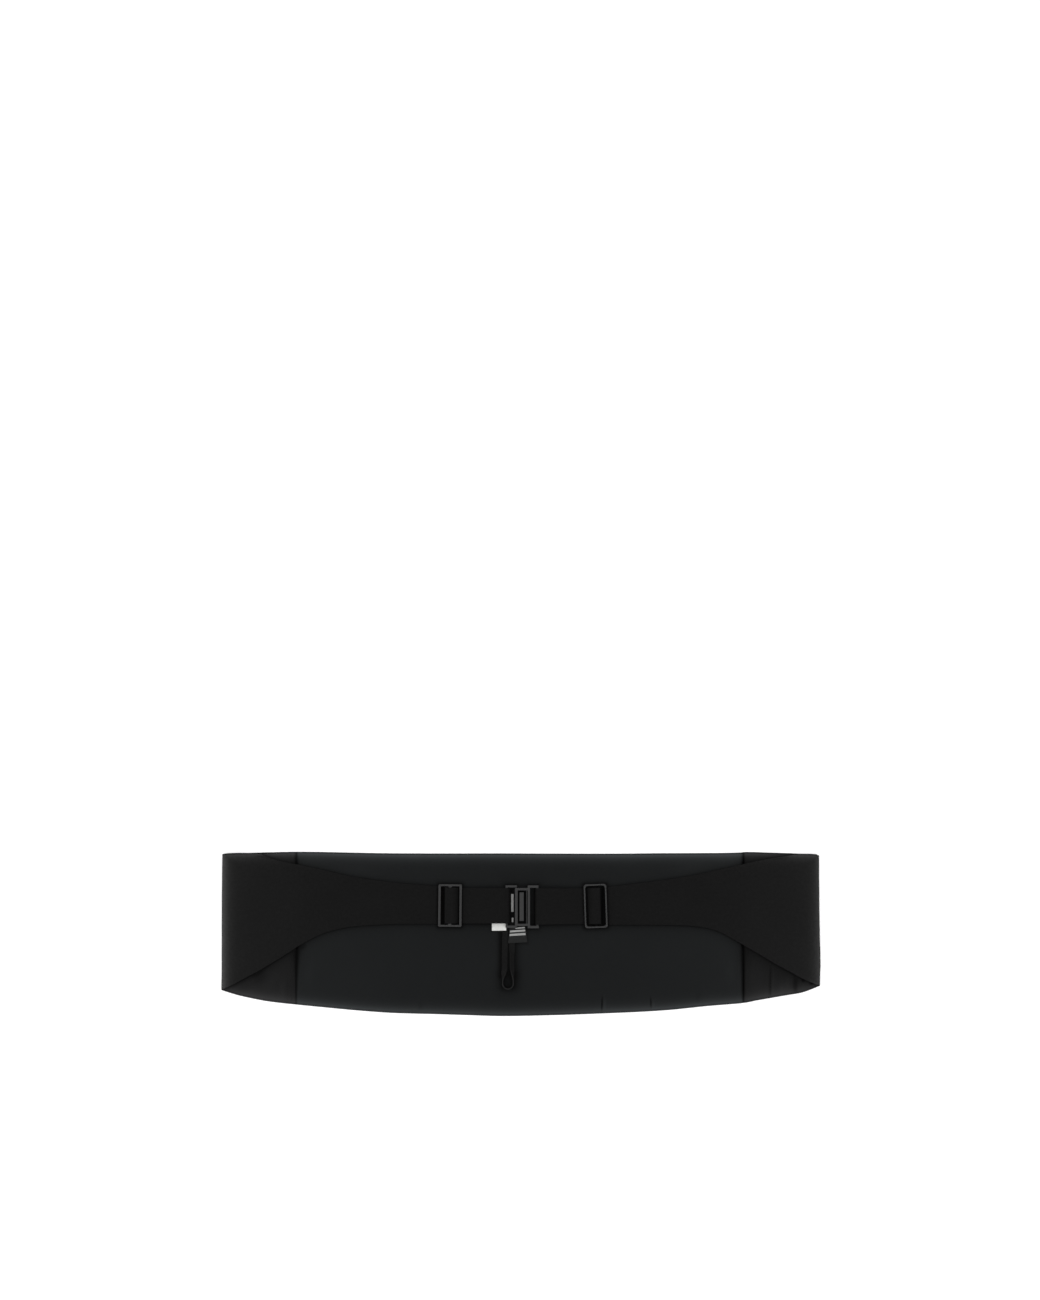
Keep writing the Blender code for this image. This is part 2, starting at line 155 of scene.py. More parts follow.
# How the panel thins to its edges and dips at its seams.
EDGE_REACH = 11.0
EDGE_HEIGHT = 1.1  # both cloths together, at the top and bottom edges
EDGE_SLOPE = 1.8  # 1 is a straight ramp, and more is rounder
SEAM_FLOOR = 0.85  # the lowest that a seam's groove goes
SEAM_LAP = 0.02
SEAM_BULK = 0.85  # how much thicker the turnings make a wing at its seam
SEAM_BULK_REACH = 16.0
DEEPEST_FOLD = 0.62  # in a wing's lower layer
EDGE_NOSE = 0.7  # rounding of the panel's edges

# Points lie this close together at a seam or a sharp crease, out to this distance from it.
FINE_STEP = 0.15
FINE_REACH = 2.0
PANEL_TALL = 117.0

# Pleats of the outer face.
PLEAT = 22.0  # from one pleat's edge to the next
PLEAT_LAP = 0.28
PLEATS_START = 9.0  # how far below the top edge the first one starts
PLEAT_CLIMB = 0.9  # the share of a pleat over which its face climbs
PLEAT_STEP = 0.035  # the share over which it steps back

# A seam's dip: y, depth, half width, how much darker its middle is, and a wide soft shade over it.
LEFT_DIP = (
    (-50.0, 0.4, 0.7, 0.4, 0.0),
    (-42.0, 0.6, 0.9, 0.6, 0.0),
    (-30.0, 0.9, 1.4, 0.78, 0.08),
    (-20.0, 1.2, 2.0, 0.94, 0.25),
    (-12.0, 1.4, 2.5, 0.99, 0.45),
    (0.0, 1.4, 2.5, 0.99, 0.45),
    (48.0, 1.1, 1.7, 0.94, 0.3),
    (58.7, 0.5, 1.0, 0.6, 0.0),
)
RIGHT_DIP = (
    (-48.6, 0.6, 0.9, 0.65, 0.0),
    (-40.0, 1.1, 1.35, 0.93, 0.0),
    (-28.0, 1.2, 1.5, 0.93, 0.12),
    (-12.0, 1.3, 1.8, 0.95, 0.42),
    (0.0, 1.3, 1.8, 0.95, 0.42),
    (50.0, 1.2, 1.35, 0.93, 0.3),
    (58.7, 0.6, 0.9, 0.65, 0.0),
)
WIDE_SHADE = 5.0

WING_EDGE = 0.35  # rounding of a wing's long edges, across the cloth
LINED_PAST_FOLD = 60.0  # how far past its fold a wing's inner face is still lined
THICK_PAST_SLIDE = 4.2  # from here outwards the cloth is as thick as a wing, and inwards as a strap

# The roll of the cloth at each end.
FOLD_UNDER = 3.0  # how far in the lower layer starts to rise
FOLD_OVER = 10.0  # how far in the upper layer's crown lies
FOLD_WIDEST = 2.4  # height of the outermost line
FOLD_CROWN = 4.6
FOLD_SETTLED_IN = 36.0

# How far each end's outermost line stands out, down its length: y, outwards.
LEFT_END = (
    (58.0, -0.10),
    (54.0, 0.04),
    (45.0, 0.20),
    (23.0, 0.21),
    (6.0, 0.37),
    (-2.0, 0.40),
    (-15.0, 0.40),
    (-28.0, 0.34),
    (-41.0, 0.62),
)
RIGHT_END = (
    (58.0, -0.30),
    (45.0, -0.17),
    (36.0, -0.06),
    (28.0, 0.05),
    (10.0, 0.15),
    (2.0, 0.27),
    (-7.0, 0.47),
    (-11.0, 0.70),
    (-22.0, 0.90),
    (-30.0, 0.56),
    (-38.0, 0.35),
)

# Folds, listed one by one: x, y, half length, half width, turn from the X axis in degrees, height.
LINING_FOLDS = (
    (58.5, -50.2, 7.5, 0.45, 88.0, -0.55),
    (60.4, -50.0, 6.0, 1.2, 90.0, 0.14),
    (93.7, -49.8, 5.2, 0.45, 93.0, -0.45),
    (95.5, -50.0, 4.5, 1.1, 93.0, 0.10),
    (-72.0, -52.0, 5.0, 1.2, 84.0, -0.12),
    (128.0, -46.0, 6.0, 1.6, 80.0, -0.12),
    (-118.0, 46.0, 24.0, 5.0, -10.0, 0.16),
    (120.0, 47.5, 22.0, 4.5, 9.0, 0.16),
    (-30.0, -22.0, 46.0, 15.0, 6.0, 0.20),
    (70.0, -30.0, 52.0, 13.0, -5.0, -0.16),
    (-110.0, -34.0, 40.0, 12.0, -12.0, 0.16),
    (30.0, 46.0, 50.0, 7.0, 1.0, -0.10),
    (-152.0, -30.0, 12.0, 3.0, 82.0, 0.14),
    (-157.5, -9.6, 5.0, 1.5, 29.0, -0.60),
    (150.5, -28.0, 14.0, 3.0, 96.0, 0.12),
)
LEFT_SIDE_FOLDS = (
    (-188.4, -28.0, 8.0, 1.5, 31.0, -0.72),
    (-187.0, -31.6, 7.0, 2.8, 35.0, -0.36),
    (-178.0, -33.0, 12.0, 3.5, 55.0, 0.20),
    (-200.0, -40.0, 9.0, 2.2, 18.0, -0.14),
    (-171.5, -40.0, 10.0, 2.0, 84.0, 0.16),
)
RIGHT_SIDE_FOLDS = (
    (179.7, -34.0, 15.0, 0.75, 89.0, -0.50),
    (181.4, -34.0, 14.0, 0.9, 89.0, 0.10),
    (197.9, -35.8, 9.0, 1.6, 88.0, -0.80),
    (192.6, -34.0, 7.0, 1.3, 86.0, 0.12),
    (203.7, -32.6, 3.2, 1.0, 62.0, -0.80),
    (209.7, -35.3, 2.6, 1.0, 50.0, -0.70),
    (169.0, -30.0, 18.0, 4.5, 86.0, 0.20),
    (188.5, -38.0, 8.0, 2.6, 84.0, 0.16),
)
LEFT_WING_FOLDS = (
    (-184.5, 55.2, 9.0, 0.8, -9.0, -0.20),
    (-190.0, 20.0, 26.0, 9.0, 78.0, -0.14),
    (-168.0, 12.0, 30.0, 8.0, 66.0, 0.14),
    (-140.0, 24.0, 34.0, 7.0, 14.0, -0.12),
    (-96.0, 22.0, 30.0, 6.0, 2.0, 0.10),
    (-201.0, -18.0, 18.0, 5.0, 64.0, 0.14),
)
RIGHT_WING_FOLDS = (
    (186.0, 54.2, 9.0, 0.8, 8.0, -0.18),
    (192.0, 18.0, 28.0, 9.0, 98.0, -0.14),
    (170.0, 8.0, 30.0, 8.0, 112.0, 0.14),
    (138.0, 24.0, 34.0, 7.0, -12.0, -0.12),
    (96.0, 20.0, 30.0, 6.0, -3.0, 0.10),
    (204.0, -16.0, 18.0, 5.0, 118.0, 0.14),
)
OUTER_FOLDS = (
    (-90.0, 0.0, 34.0, 10.0, 20.0, 0.10),
    (64.0, -6.0, 40.0, 9.0, -16.0, 0.10),
)

# Rows of stitches beside the seams: x at the top, x at the bottom, highest y, lowest y.
LEFT_STITCH_ROWS = (
    (-165.4, -165.3, -21.5, -47.6),
    (-168.2, -168.1, -23.5, -47.2),
    (-165.6, -165.5, 56.6, 51.8),
    (-168.4, -168.3, 56.6, 52.6),
)
RIGHT_STITCH_ROWS = (
    (179.6, 179.9, -21.8, -44.0),
)

# Painted light and shade: tones by which the cloth's colour is multiplied, for painted highlights along its
# outer edges and towards its ends, and painted shade in its folds and seams, at the edge's last line, and
# under and beside the wings, straps and clasp: how much, and how far that reaches.
FOLD_TONE = 2.6  # painted shade in a trough and painted light on a ridge: exp(FOLD_TONE * height / width)
SIDE_TOP_TONE = (0.38, 2.4)  # painted light: how much paler a side piece is along the top edge
LEFT_EDGE_TONE = (9.0, 2.6)
RIGHT_EDGE_TONE = (5.0, 2.6)
TOP_EDGE_TONE = (7.8, 2.2)
BOTTOM_EDGE_TONE = (7.2, 2.2)
EDGE_TONE_ROUNDING = 0.8
SIDE_EDGE_REACH = 0.8  # how much further the bottom edge's painted light reaches on the side pieces
TOP_RIM_TONE = (0.72, 1.05)  # painted shade: how much darker the edge's last line is, and how wide
BOTTOM_RIM_TONE = (0.4, 1.6)
MIDDLE_TONE = 0.905
END_TONE = (0.645, 55.0)
UNDER_STRAP_TONE = (0.46, 3.0)
LOWER_LINE_TONE = (0.4, 1.1)
WING_MIDDLE = 14.0  # a point lower than this is nearer to a wing's lower edge
UNDER_WING_TONE = {-1: (0.58, 4.2), 1: (0.68, 8.0)}
ABOVE_REACH = 0.55  # above a wing or strap the shade reaches this much as far as below it
CLASP_AREA = ((-11.0, 4.0), (12.5, 34.7))

# Soft shadows beside small parts. Centre x, y and turn of the part, then a box about that centre
# (low x, high x, low y, high y), how much darker beside it, how far that reaches, tone in the box.
LEFT_SLIDE = (-50.9, 20.15, -0.6)
RIGHT_SLIDE = (53.8, 19.8, 1.9)
NO_TURN = (0.0, 0.0, 0.0)
CLOTH_SHADOWS = (
    (LEFT_SLIDE, (-8.45, 8.45, -15.3, 15.3), 0.65, 1.2, 1.0),
    (LEFT_SLIDE, (-6.9, -3.7, -14.3, 14.3), 0.0, 1.0, 0.22),
    (LEFT_SLIDE, (5.7, 6.9, -14.3, 14.3), 0.25, 0.8, 0.2),
    (RIGHT_SLIDE, (-8.2, 8.2, -15.8, 15.8), 0.8, 1.1, 1.0),
    (RIGHT_SLIDE, (-7.2, -5.3, -13.8, 13.8), 0.15, 0.6, 0.18),
    (RIGHT_SLIDE, (3.5, 7.2, -13.8, 13.8), 0.25, 0.7, 0.2),
    (NO_TURN, (-8.9, -7.4, 7.0, 33.0), 0.15, 2.5, 0.6),
)
LINING_SHADOWS = (
    (LEFT_SLIDE, (-8.45, 8.45, -15.3, 15.3), 0.75, 1.7, 0.35),
    (RIGHT_SLIDE, (-8.2, 8.2, -15.8, 15.8), 0.75, 1.7, 0.3),
    (NO_TURN, (-15.1, -13.6, -31.0, 6.0), 0.8, 1.7, 0.12),
    (NO_TURN, (-5.2, -4.0, -31.0, -6.0), 0.72, 2.9, 0.18),
    (NO_TURN, (-9.3, -7.8, -30.0, -4.0), 0.4, 1.0, 0.5),
    (NO_TURN, (-12.8, -4.8, -38.4, -29.0), 0.72, 3.9, 0.35),
    (NO_TURN, (-20.8, -10.5, 2.0, 7.6), 0.5, 1.0, 0.5),
    (NO_TURN, (-8.9, 4.5, -6.9, 4.0), 0.5, 1.2, 0.5),
    (NO_TURN, (-11.2, -2.6, 4.0, 35.0), 0.55, 1.0, 0.6),
    (NO_TURN, (4.9, 12.6, 3.8, 34.7), 0.55, 1.0, 0.8),
    (NO_TURN, (9.3, 10.6, 6.0, 33.0), 0.6, 0.7, 0.1),
    (NO_TURN, (-42.0, -23.0, 7.0, 20.0), 0.25, 3.5, 1.0),
)

STITCH_PITCH = 2.6
STITCH_LENGTH = 1.9
STITCH_ARCH = 0.08
THREAD = 0.11  # radius
THREAD_SIDES = 8
THREAD_RINGS = 7

# The button loop.
LOOP_X = -9.25  # middle of its eye
LOOP_LEGS_X = -8.9
LOOP_END = -40.3
LOOP_TOP = 8.2
LOOP_TAPE = 4.3
LOOP_THICKNESS = 0.9
LOOP_LEG_HALF = 2.45
LOOP_EYE_HALF = 3.8
LOOP_EYE_FLAT = 1.5
LOOP_ROLL_LENGTH = 11.0
LOOP_EDGE_TONE = 1.0  # painted highlight: how much paler it is where it stands on its edge
LOOP_TWIST = 0.75  # radians, of the leg that lies less flat
LOOP_LEG_POINTS = 65

# Light bars woven into the labels: from and to along the label, then from and to across it.
UNDER_LABEL_BARS = ((1.4, 3.05, 9.7, 22.6), (1.7, 3.0, 0.8, 5.5))
CARE_TAB_BARS = ((0.5, 13.3, 5.2, 6.7), (0.5, 13.3, 7.8, 9.1), (5.0, 13.2, 10.0, 11.0))

# The middle bar of a slide.
MIDDLE_BAR_HALF = 0.95
MIDDLE_BAR_FLARE = 0.7  # how much that grows at its two roots
MIDDLE_BAR_FLARE_REACH = 0.4
MIDDLE_BAR_INSET = 0.08  # from the frame's upper and lower face

# The clasp.
CLASP_Y = 19.5
CLASP_ARM = 1.9  # height of an arm
HOOK_END = -11.0
EYE_END = 12.7
EYE_BOTTOM = 3.75
EYE_TOP = 34.7

# What differs between the two sides: -1 is the left and 1 the right.
SEAMS = {-1: LEFT_SEAM, 1: RIGHT_SEAM}
SEAM_DIPS = {-1: LEFT_DIP, 1: RIGHT_DIP}
SLIDES = {-1: LEFT_SLIDE, 1: RIGHT_SLIDE}
STRAP_ENDS = {-1: 7.7, 1: 10.4}
WINGS = {-1: LEFT_WING, 1: RIGHT_WING}
ENDS = {-1: LEFT_END, 1: RIGHT_END}
SIDE_FOLDS = {-1: LEFT_SIDE_FOLDS, 1: RIGHT_SIDE_FOLDS}
WING_FOLDS = {-1: LEFT_WING_FOLDS, 1: RIGHT_WING_FOLDS}


def smooth_curve(rows, column, x):
    """Reads one column of a table at x, on a monotone cubic through its rows."""
    table = np.array(sorted(rows))
    xs = table[:, 0]
    ys = table[:, column]
    width = np.diff(xs)
    rise = np.diff(ys) / width
    slope = np.zeros(len(xs))
    same_way = rise[:-1] * rise[1:] > 0
    total = rise[:-1] + rise[1:]
    slope[1:-1][same_way] = 2 * rise[:-1][same_way] * rise[1:][same_way] / total[same_way]
    slope[0] = rise[0]
    slope[-1] = rise[-1]
    x = np.clip(x, xs[0], xs[-1])
    at = np.clip(np.searchsorted(xs, x) - 1, 0, len(width) - 1)
    t = (x - xs[at]) / width[at]
    held = ys[at] * (1 - t) ** 2 * (1 + 2 * t) + ys[at + 1] * t**2 * (3 - 2 * t)
    return held + width[at] * t * (1 - t) * (slope[at] * (1 - t) - slope[at + 1] * t)


def ease(t):
    """0 to 1 with a level start and end."""
    t = np.clip(t, 0.0, 1.0)
    return t * t * (3 - 2 * t)


def top_edge(x):
    return smooth_curve(OUTLINE, 1, x) + smooth_curve(PROUD, 1, x)


def bottom_edge(x):
    return smooth_curve(OUTLINE, 2, x) - smooth_curve(PROUD, 2, x)


def spread(start, end, step, close_to, close_step, reach):
    """Stations from start to end, a step apart, and close_step apart near the places in close_to."""
    line = np.linspace(start, end, 6000)
    density = np.full(line.shape, 1 / step)
    for place in close_to:
        density = np.maximum(density, np.exp(-(((line - place) / reach) ** 2)) / close_step)
    count = np.concatenate([[0.0], np.cumsum((density[1:] + density[:-1]) / 2 * np.diff(line))])
    return np.interp(np.linspace(0, count[-1], math.ceil(count[-1]) + 1), count, line)


def fold_bells(rows, x, y):
    """Each fold's bell across its own line, which fades to nothing at its two ends."""
    for fold_x, fold_y, reach, width, turn, depth in rows:
        cos = math.cos(math.radians(turn))
        sin = math.sin(math.radians(turn))
        along = ((x - fold_x) * cos + (y - fold_y) * sin) / reach
        across = ((y - fold_y) * cos - (x - fold_x) * sin) / width
        yield depth * np.exp(-(across**2)) * np.clip(1 - along**2, 0, 1) ** 2, width


def soft_folds(rows, x, y):
    """Height of all the folds in a table together."""
    return sum(bell for bell, _ in fold_bells(rows, x, y))


def painted_fold_shading(rows, x, y):
    """Painted shade in a trough and painted light on a ridge, most in a narrow one: an exponential."""
    return np.exp(FOLD_TONE * sum(bell / max(width, 1.0) for bell, width in fold_bells(rows, x, y)))


def slow_waves(x, y, height, length):
    """Low rolling of cloth that lies loose: three sine waves that cross each other."""
    turn = 2 * math.pi / length
    first = np.sin(turn * (x + 0.3 * y))
    second = 0.6 * np.sin(1.7 * turn * (0.8 * x - y) + 1.0)
    third = 0.4 * np.sin(2.9 * turn * (0.5 * x + y) + 2.2)
    return height * (first + second + third) / 2


def seam_dip(side, from_seam, y):
    """Depth of a seam's dip, which is sharp at the seam: an exponential of the distance."""
    depth = smooth_curve(SEAM_DIPS[side], 1, y)
    width = smooth_curve(SEAM_DIPS[side], 2, y)
    return depth * np.exp(-((np.abs(from_seam) / width) ** 1.3))


def seam_bulk(from_seam, inside):
    """Height that the turnings add beside a seam: a bell, which fades out at the cloth's edges."""
    return SEAM_BULK * np.exp(-((from_seam / SEAM_BULK_REACH) ** 2)) * ease(inside / EDGE_REACH)


def painted_edge_light(x, y):
    """Painted highlight: cloth is paler near the garment's outer edges, and a little towards its ends, with
    a painted dark line at the edge itself: exponentials.
    """
    painted_shading = np.zeros(np.broadcast(x, y).shape)
    on_side = ease((np.abs(x) - 155.0) / 20.0)
    bottom_paler, bottom_reach = BOTTOM_EDGE_TONE
    for away, (paler, reach) in (
        (HALF_LENGTH + x, LEFT_EDGE_TONE),
        (HALF_LENGTH - x, RIGHT_EDGE_TONE),
        (top_edge(x) - y, TOP_EDGE_TONE),
        (y - bottom_edge(x), (bottom_paler, bottom_reach + SIDE_EDGE_REACH * on_side)),
    ):
        away = np.hypot(np.clip(away, 0, None), EDGE_TONE_ROUNDING)
        painted_shading = np.maximum(painted_shading, paler * np.exp(-away / reach))
    to_end = HALF_LENGTH - np.abs(x)
    painted_shading = painted_shading + MIDDLE_TONE + END_TONE[0] * np.exp(-to_end / END_TONE[1])
    for away, (darker, width) in (
        (top_edge(x) - y, TOP_RIM_TONE),
        (y - bottom_edge(x), BOTTOM_RIM_TONE),
    ):
        painted_shading = painted_shading * (1 - darker * np.exp(-((np.abs(away) / width) ** 4)))
    return painted_shading


def past_wing(side, x, y):
    """Distances of a point from the upper layer of a wing: above it, stretched, and below it."""
    table = WINGS[side]
    out = np.clip(side * x, table[-1][0], HALF_LENGTH)
    past_end = np.clip(out - side * x, 0, None)
    distances = []
    for column, over in ((1, 1), (2, -1)):
        edge = smooth_curve(table, column, out)
        slope = smooth_curve(table, column, out + 0.5) - smooth_curve(table, column, out - 0.5)
        away = np.clip(over * (y - edge) / np.sqrt(1 + slope**2), 0, None)
        distances.append(np.hypot(away, past_end) / (ABOVE_REACH if over > 0 else 1.0))
    return distances


def past_box(low, high, x, y):
    """Distance of a point from a rectangle, 0 in it."""
    out_x = np.maximum(low[0] - x, x - high[0])
    out_y = np.maximum(low[1] - y, y - high[1])
    return np.hypot(np.clip(out_x, 0, None), np.clip(out_y, 0, None))


def painted_under_shadow(x, y, depth_and_reach):
    """Painted shadow: cloth is darker under the wings and the clasp and close beside them: exponentials.

    Along their lower edges there is a darker line of painted shadow.
    """
    left_above, left_below = past_wing(-1, x, y)
    right_above, right_below = past_wing(1, x, y)
    straps = np.minimum(np.maximum(left_above, left_below), np.maximum(right_above, right_below))
    straps = np.minimum(straps, past_box(CLASP_AREA[0], CLASP_AREA[1], x, y))
    below = np.where(y < WING_MIDDLE, np.minimum(left_below, right_below), 99.0)
    painted_shading = 1 - depth_and_reach[0] * np.exp(-straps / depth_and_reach[1])
    return painted_shading * (1 - LOWER_LINE_TONE[0] * np.exp(-((below / LOWER_LINE_TONE[1]) ** 2)))


def painted_seam_shade(side, inwards, y):
    """Painted shade in a seam's dip: a narrow and a wide bell, by the distance inwards from it."""
    rows = SEAM_DIPS[side]
    width = smooth_curve(rows, 2, y)
    narrow = smooth_curve(rows, 3, y) * np.exp(-((inwards / width) ** 2))
    wide = smooth_curve(rows, 4, y) * np.exp(-((inwards / WIDE_SHADE) ** 2))
    return (1 - narrow) * (1 - wide)


def store(obj, name, values):
    """Stores a number for each point, which the finishes read by its name."""
    layer = obj.data.attributes.new(name, "FLOAT", "POINT")
    layer.data.foreach_set("value", np.asarray(values, dtype=np.float32).ravel())


def as_points(*columns):
    """Points, or places on the cloth, from their coordinates."""
    return np.stack(np.broadcast_arrays(*columns), axis=-1)


def round_ring(face, back):
    """Values round a section: across its one face, and back across the other."""
    return np.hstack([face, back[:, ::-1]])


def add_mesh(name, points, quads, material, caps=(), cloth_map=None):
    """A mesh object at the origin. cloth_map is along and across, in millimetres, of each point."""
    points = points.reshape(-1, 3) * MM
    corners = points[quads]
    volume = np.einsum("ij,ij->i", corners[:, 0], np.cross(corners[:, 1], corners[:, 2])).sum()
    volume += np.einsum("ij,ij->i", corners[:, 0], np.cross(corners[:, 2], corners[:, 3])).sum()
    faces = (quads if volume > 0 else quads[:, ::-1]).tolist()
    faces += [list(cap) if volume > 0 else list(cap)[::-1] for cap in caps]
    mesh = bpy.data.meshes.new(name)
    mesh.from_pydata(points.tolist(), [], faces)
    mesh.materials.append(material)
    if cloth_map is not None:
        corner_points = np.empty(len(mesh.loops), dtype=np.int32)
        mesh.loops.foreach_get("vertex_index", corner_points)
        layer = mesh.uv_layers.new(name="cloth")
        layer.data.foreach_set("uv", (cloth_map.reshape(-1, 2)[corner_points] * MM).ravel())
    mesh.shade_smooth()
    mesh.set_sharp_from_angle(angle=math.radians(50))
    obj = bpy.data.objects.new(name, mesh)
    bpy.context.scene.collection.objects.link(obj)
    return obj


def grid_quads(rows, columns, closed_rows=False):
    """Faces of a grid that wraps round across its columns, and along its rows if closed_rows."""
    index = np.arange(rows * columns).reshape(rows, columns)
    if closed_rows:
        index = np.vstack([index, index[:1]])
    beside = np.roll(index, -1, axis=1)
    quads = np.stack([index[:-1], beside[:-1], beside[1:], index[1:]], axis=-1)
    return quads.reshape(-1, 4)


def add_wall(name, rings, material, cloth_map=None):
    """A closed wall through rings of equal length, with a cap on the first and the last."""
    rows, columns = rings.shape[:2]
    first = range(columns)[::-1]
    last = range((rows - 1) * columns, rows * columns)
    quads = grid_quads(rows, columns)
    return add_mesh(name, rings, quads, material, (first, last), cloth_map)


def place(piece, node, slot):
    """Puts a piece on the garment in a node's place; its slot is not used."""
    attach(piece, BODY)
    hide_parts(node)
    return piece


# Finishes.

WING_BLACK = (0.0063, 0.0063, 0.0063)
SIDE_BLACK = (0.0061, 0.0061, 0.0062)
LINING_BLACK = (0.0079, 0.0086, 0.0089)
OUTER_BLACK = (0.0040, 0.0040, 0.0044)
TAPE_BLACK = (0.0065, 0.0065, 0.0065)
LABEL_BLACK = (0.0075, 0.0078, 0.0078)
TAG_WHITE = (0.62, 0.62, 0.60)
BAR_WHITE = (0.28, 0.28, 0.275)
# Painted shade: a darker copy of the label black, for the label in the clasp's shadow.
SHADED_LABEL_BLACK = (0.0028, 0.0029, 0.0029)
HARD_GREY = (0.0098, 0.0100, 0.0103)
HARD_LEVEL = 0.33
# Painted shade: a darker, matt copy of the hard grey for parts in deep shadow: the clasp's front bar and
# neck and the right slide's middle bar.
SHADED_HARD_GREY = (0.0015, 0.0015, 0.0016)
THREAD_BLACK = (0.004, 0.004, 0.004)
WING_ROUGHNESS = 0.8
WING_LEVEL = 0.04
LINING_ROUGHNESS = 0.45
LINING_LEVEL = 0.035


def add_node(tree, kind, **settings):
    node = tree.nodes.new(kind)
    for key, value in settings.items():
        setattr(node, key, value)
    return node


def feed(tree, socket, value):
    """Links an output to a socket, or sets the socket to a number or colour."""
    if isinstance(value, bpy.types.NodeSocket):
        tree.links.new(value, socket)
    else:
        socket.default_value = value


def work_out(tree, operation, *values):
    """A Math node."""
    node = add_node(tree, "ShaderNodeMath", operation=operation)
    for socket, value in zip(node.inputs, values):
        feed(tree, socket, value)
    return node.outputs[0]


def noise(tree, where, scale, detail, roughness=0.5):
    """Noise from 0 to 1."""
    node = add_node(tree, "ShaderNodeTexNoise")
    feed(tree, node.inputs["Vector"], where)
    feed(tree, node.inputs["Scale"], scale)
    node.inputs["Detail"].default_value = detail
    node.inputs["Roughness"].default_value = roughness
    return node.outputs["Fac"]


def axes_of(tree, vector):
    """The X, Y and Z of a vector."""
    node = add_node(tree, "ShaderNodeSeparateXYZ")
    feed(tree, node.inputs[0], vector)
    return node.outputs


MIX_SOCKETS = {"FLOAT": (2, 3, 0), "RGBA": (6, 7, 2)}  # first, second and result of a Mix node


def mix(tree, kind, factor, first, second):
    """From the first value to the second as factor goes from 0 to 1. RGBA is for colours."""
    first_socket, second_socket, result = MIX_SOCKETS[kind]
    node = add_node(tree, "ShaderNodeMix", data_type=kind)
    feed(tree, node.inputs["Factor"], factor)
    feed(tree, node.inputs[first_socket], first)
    feed(tree, node.inputs[second_socket], second)
    return node.outputs[result]


def new_group(name, where, numbers, outputs):
    """An empty node group: a vector input, number inputs with their defaults, and its outputs."""
    group = bpy.data.node_groups.new(name, "ShaderNodeTree")
    group.interface.new_socket(where, in_out="INPUT", socket_type="NodeSocketVector")
    for number, value in numbers.items():
        socket = group.interface.new_socket(number, in_out="INPUT", socket_type="NodeSocketFloat")
        socket.default_value = value
    for output in outputs:
        group.interface.new_socket(output, in_out="OUTPUT", socket_type="NodeSocketFloat")
    return group, add_node(group, "NodeGroupInput"), add_node(group, "NodeGroupOutput")


def use_group(tree, group, **values):
    """A node group placed in a material. Values are by socket name, with _ for a space."""
    node = add_node(tree, "ShaderNodeGroup", node_tree=group)
    for name, value in values.items():
        feed(tree, node.inputs[name.replace("_", " ")], value)
    return node


def make_weave_group():
    """Threads over and under each other.

    Height is a product of two sines for a plain weave, and a slanted sine for a twill.
    """
    numbers = {"Along": 2000.0, "Across": 2000.0, "Twill": 0.0, "Unevenness": 0.3}
    group, given, out = new_group("threads", "Cloth", numbers, ("Height", "Shade"))
    axes = axes_of(group, given.outputs["Cloth"])
    drift = work_out(group, "SUBTRACT", noise(group, given.outputs["Cloth"], 260.0, 3.0), 0.5)
    drift = work_out(group, "MULTIPLY", drift, given.outputs["Unevenness"])
    drift = work_out(group, "MULTIPLY", drift, 4.0)
    turns = []
    for axis, count in (("X", "Along"), ("Y", "Across")):
        turn = work_out(group, "MULTIPLY", axes[axis], given.outputs[count])
        turns.append(work_out(group, "ADD", work_out(group, "MULTIPLY", turn, math.pi), drift))
    plain = work_out(group, "MULTIPLY", *[work_out(group, "SINE", turn) for turn in turns])
    slanted = work_out(group, "SINE", work_out(group, "ADD", *turns))
    height = mix(group, "FLOAT", given.outputs["Twill"], plain, slanted)
    height = work_out(group, "MULTIPLY_ADD", height, 0.5, 0.5)
    feed(group, out.inputs["Height"], height)
    feed(group, out.inputs["Shade"], work_out(group, "MULTIPLY_ADD", height, 0.3, 0.85))
    return group


def make_mottle_group():
    """Slow light and dark patches: 1 plus or minus Amount, from noise of a Size."""
    group, given, out = new_group("mottle", "Place", {"Size": 0.02, "Amount": 0.1}, ("Shade",))
    scale = work_out(group, "DIVIDE", 1.0, given.outputs["Size"])
    patches = noise(group, given.outputs["Place"], scale, 4.0, 0.65)
    swing = work_out(group, "MULTIPLY_ADD", patches, 2.0, -1.0)
    swing = work_out(group, "MULTIPLY", swing, given.outputs["Amount"])
    feed(group, out.inputs["Shade"], work_out(group, "ADD", swing, 1.0))
    return group


def make_satin_group():
    """Long smooth floats: noise drawn out along the thread."""
    group, given, out = new_group("satin floats", "Cloth", {"Threads": 3000.0}, ("Height", "Shade"))
    drawn_out = add_node(group, "ShaderNodeVectorMath", operation="MULTIPLY")
    feed(group, drawn_out.inputs[0], given.outputs["Cloth"])
    drawn_out.inputs[1].default_value = (0.12, 1.0, 1.0)
    floats = noise(group, drawn_out.outputs[0], given.outputs["Threads"], 2.0)
    feed(group, out.inputs["Height"], floats)
    feed(group, out.inputs["Shade"], work_out(group, "MULTIPLY_ADD", floats, 0.24, 0.88))
    return group


def make_moulded_group():
    """Skin of a moulded part: a fine grain, and patches rubbed smoother."""
    group, given, out = new_group("moulded skin", "Place", {"Grain": 5000.0}, ("Height", "Rubbed"))
    place_on = given.outputs["Place"]
    feed(group, out.inputs["Height"], noise(group, place_on, given.outputs["Grain"], 2.0))
    feed(group, out.inputs["Rubbed"], noise(group, place_on, 420.0, 3.0))
    return group


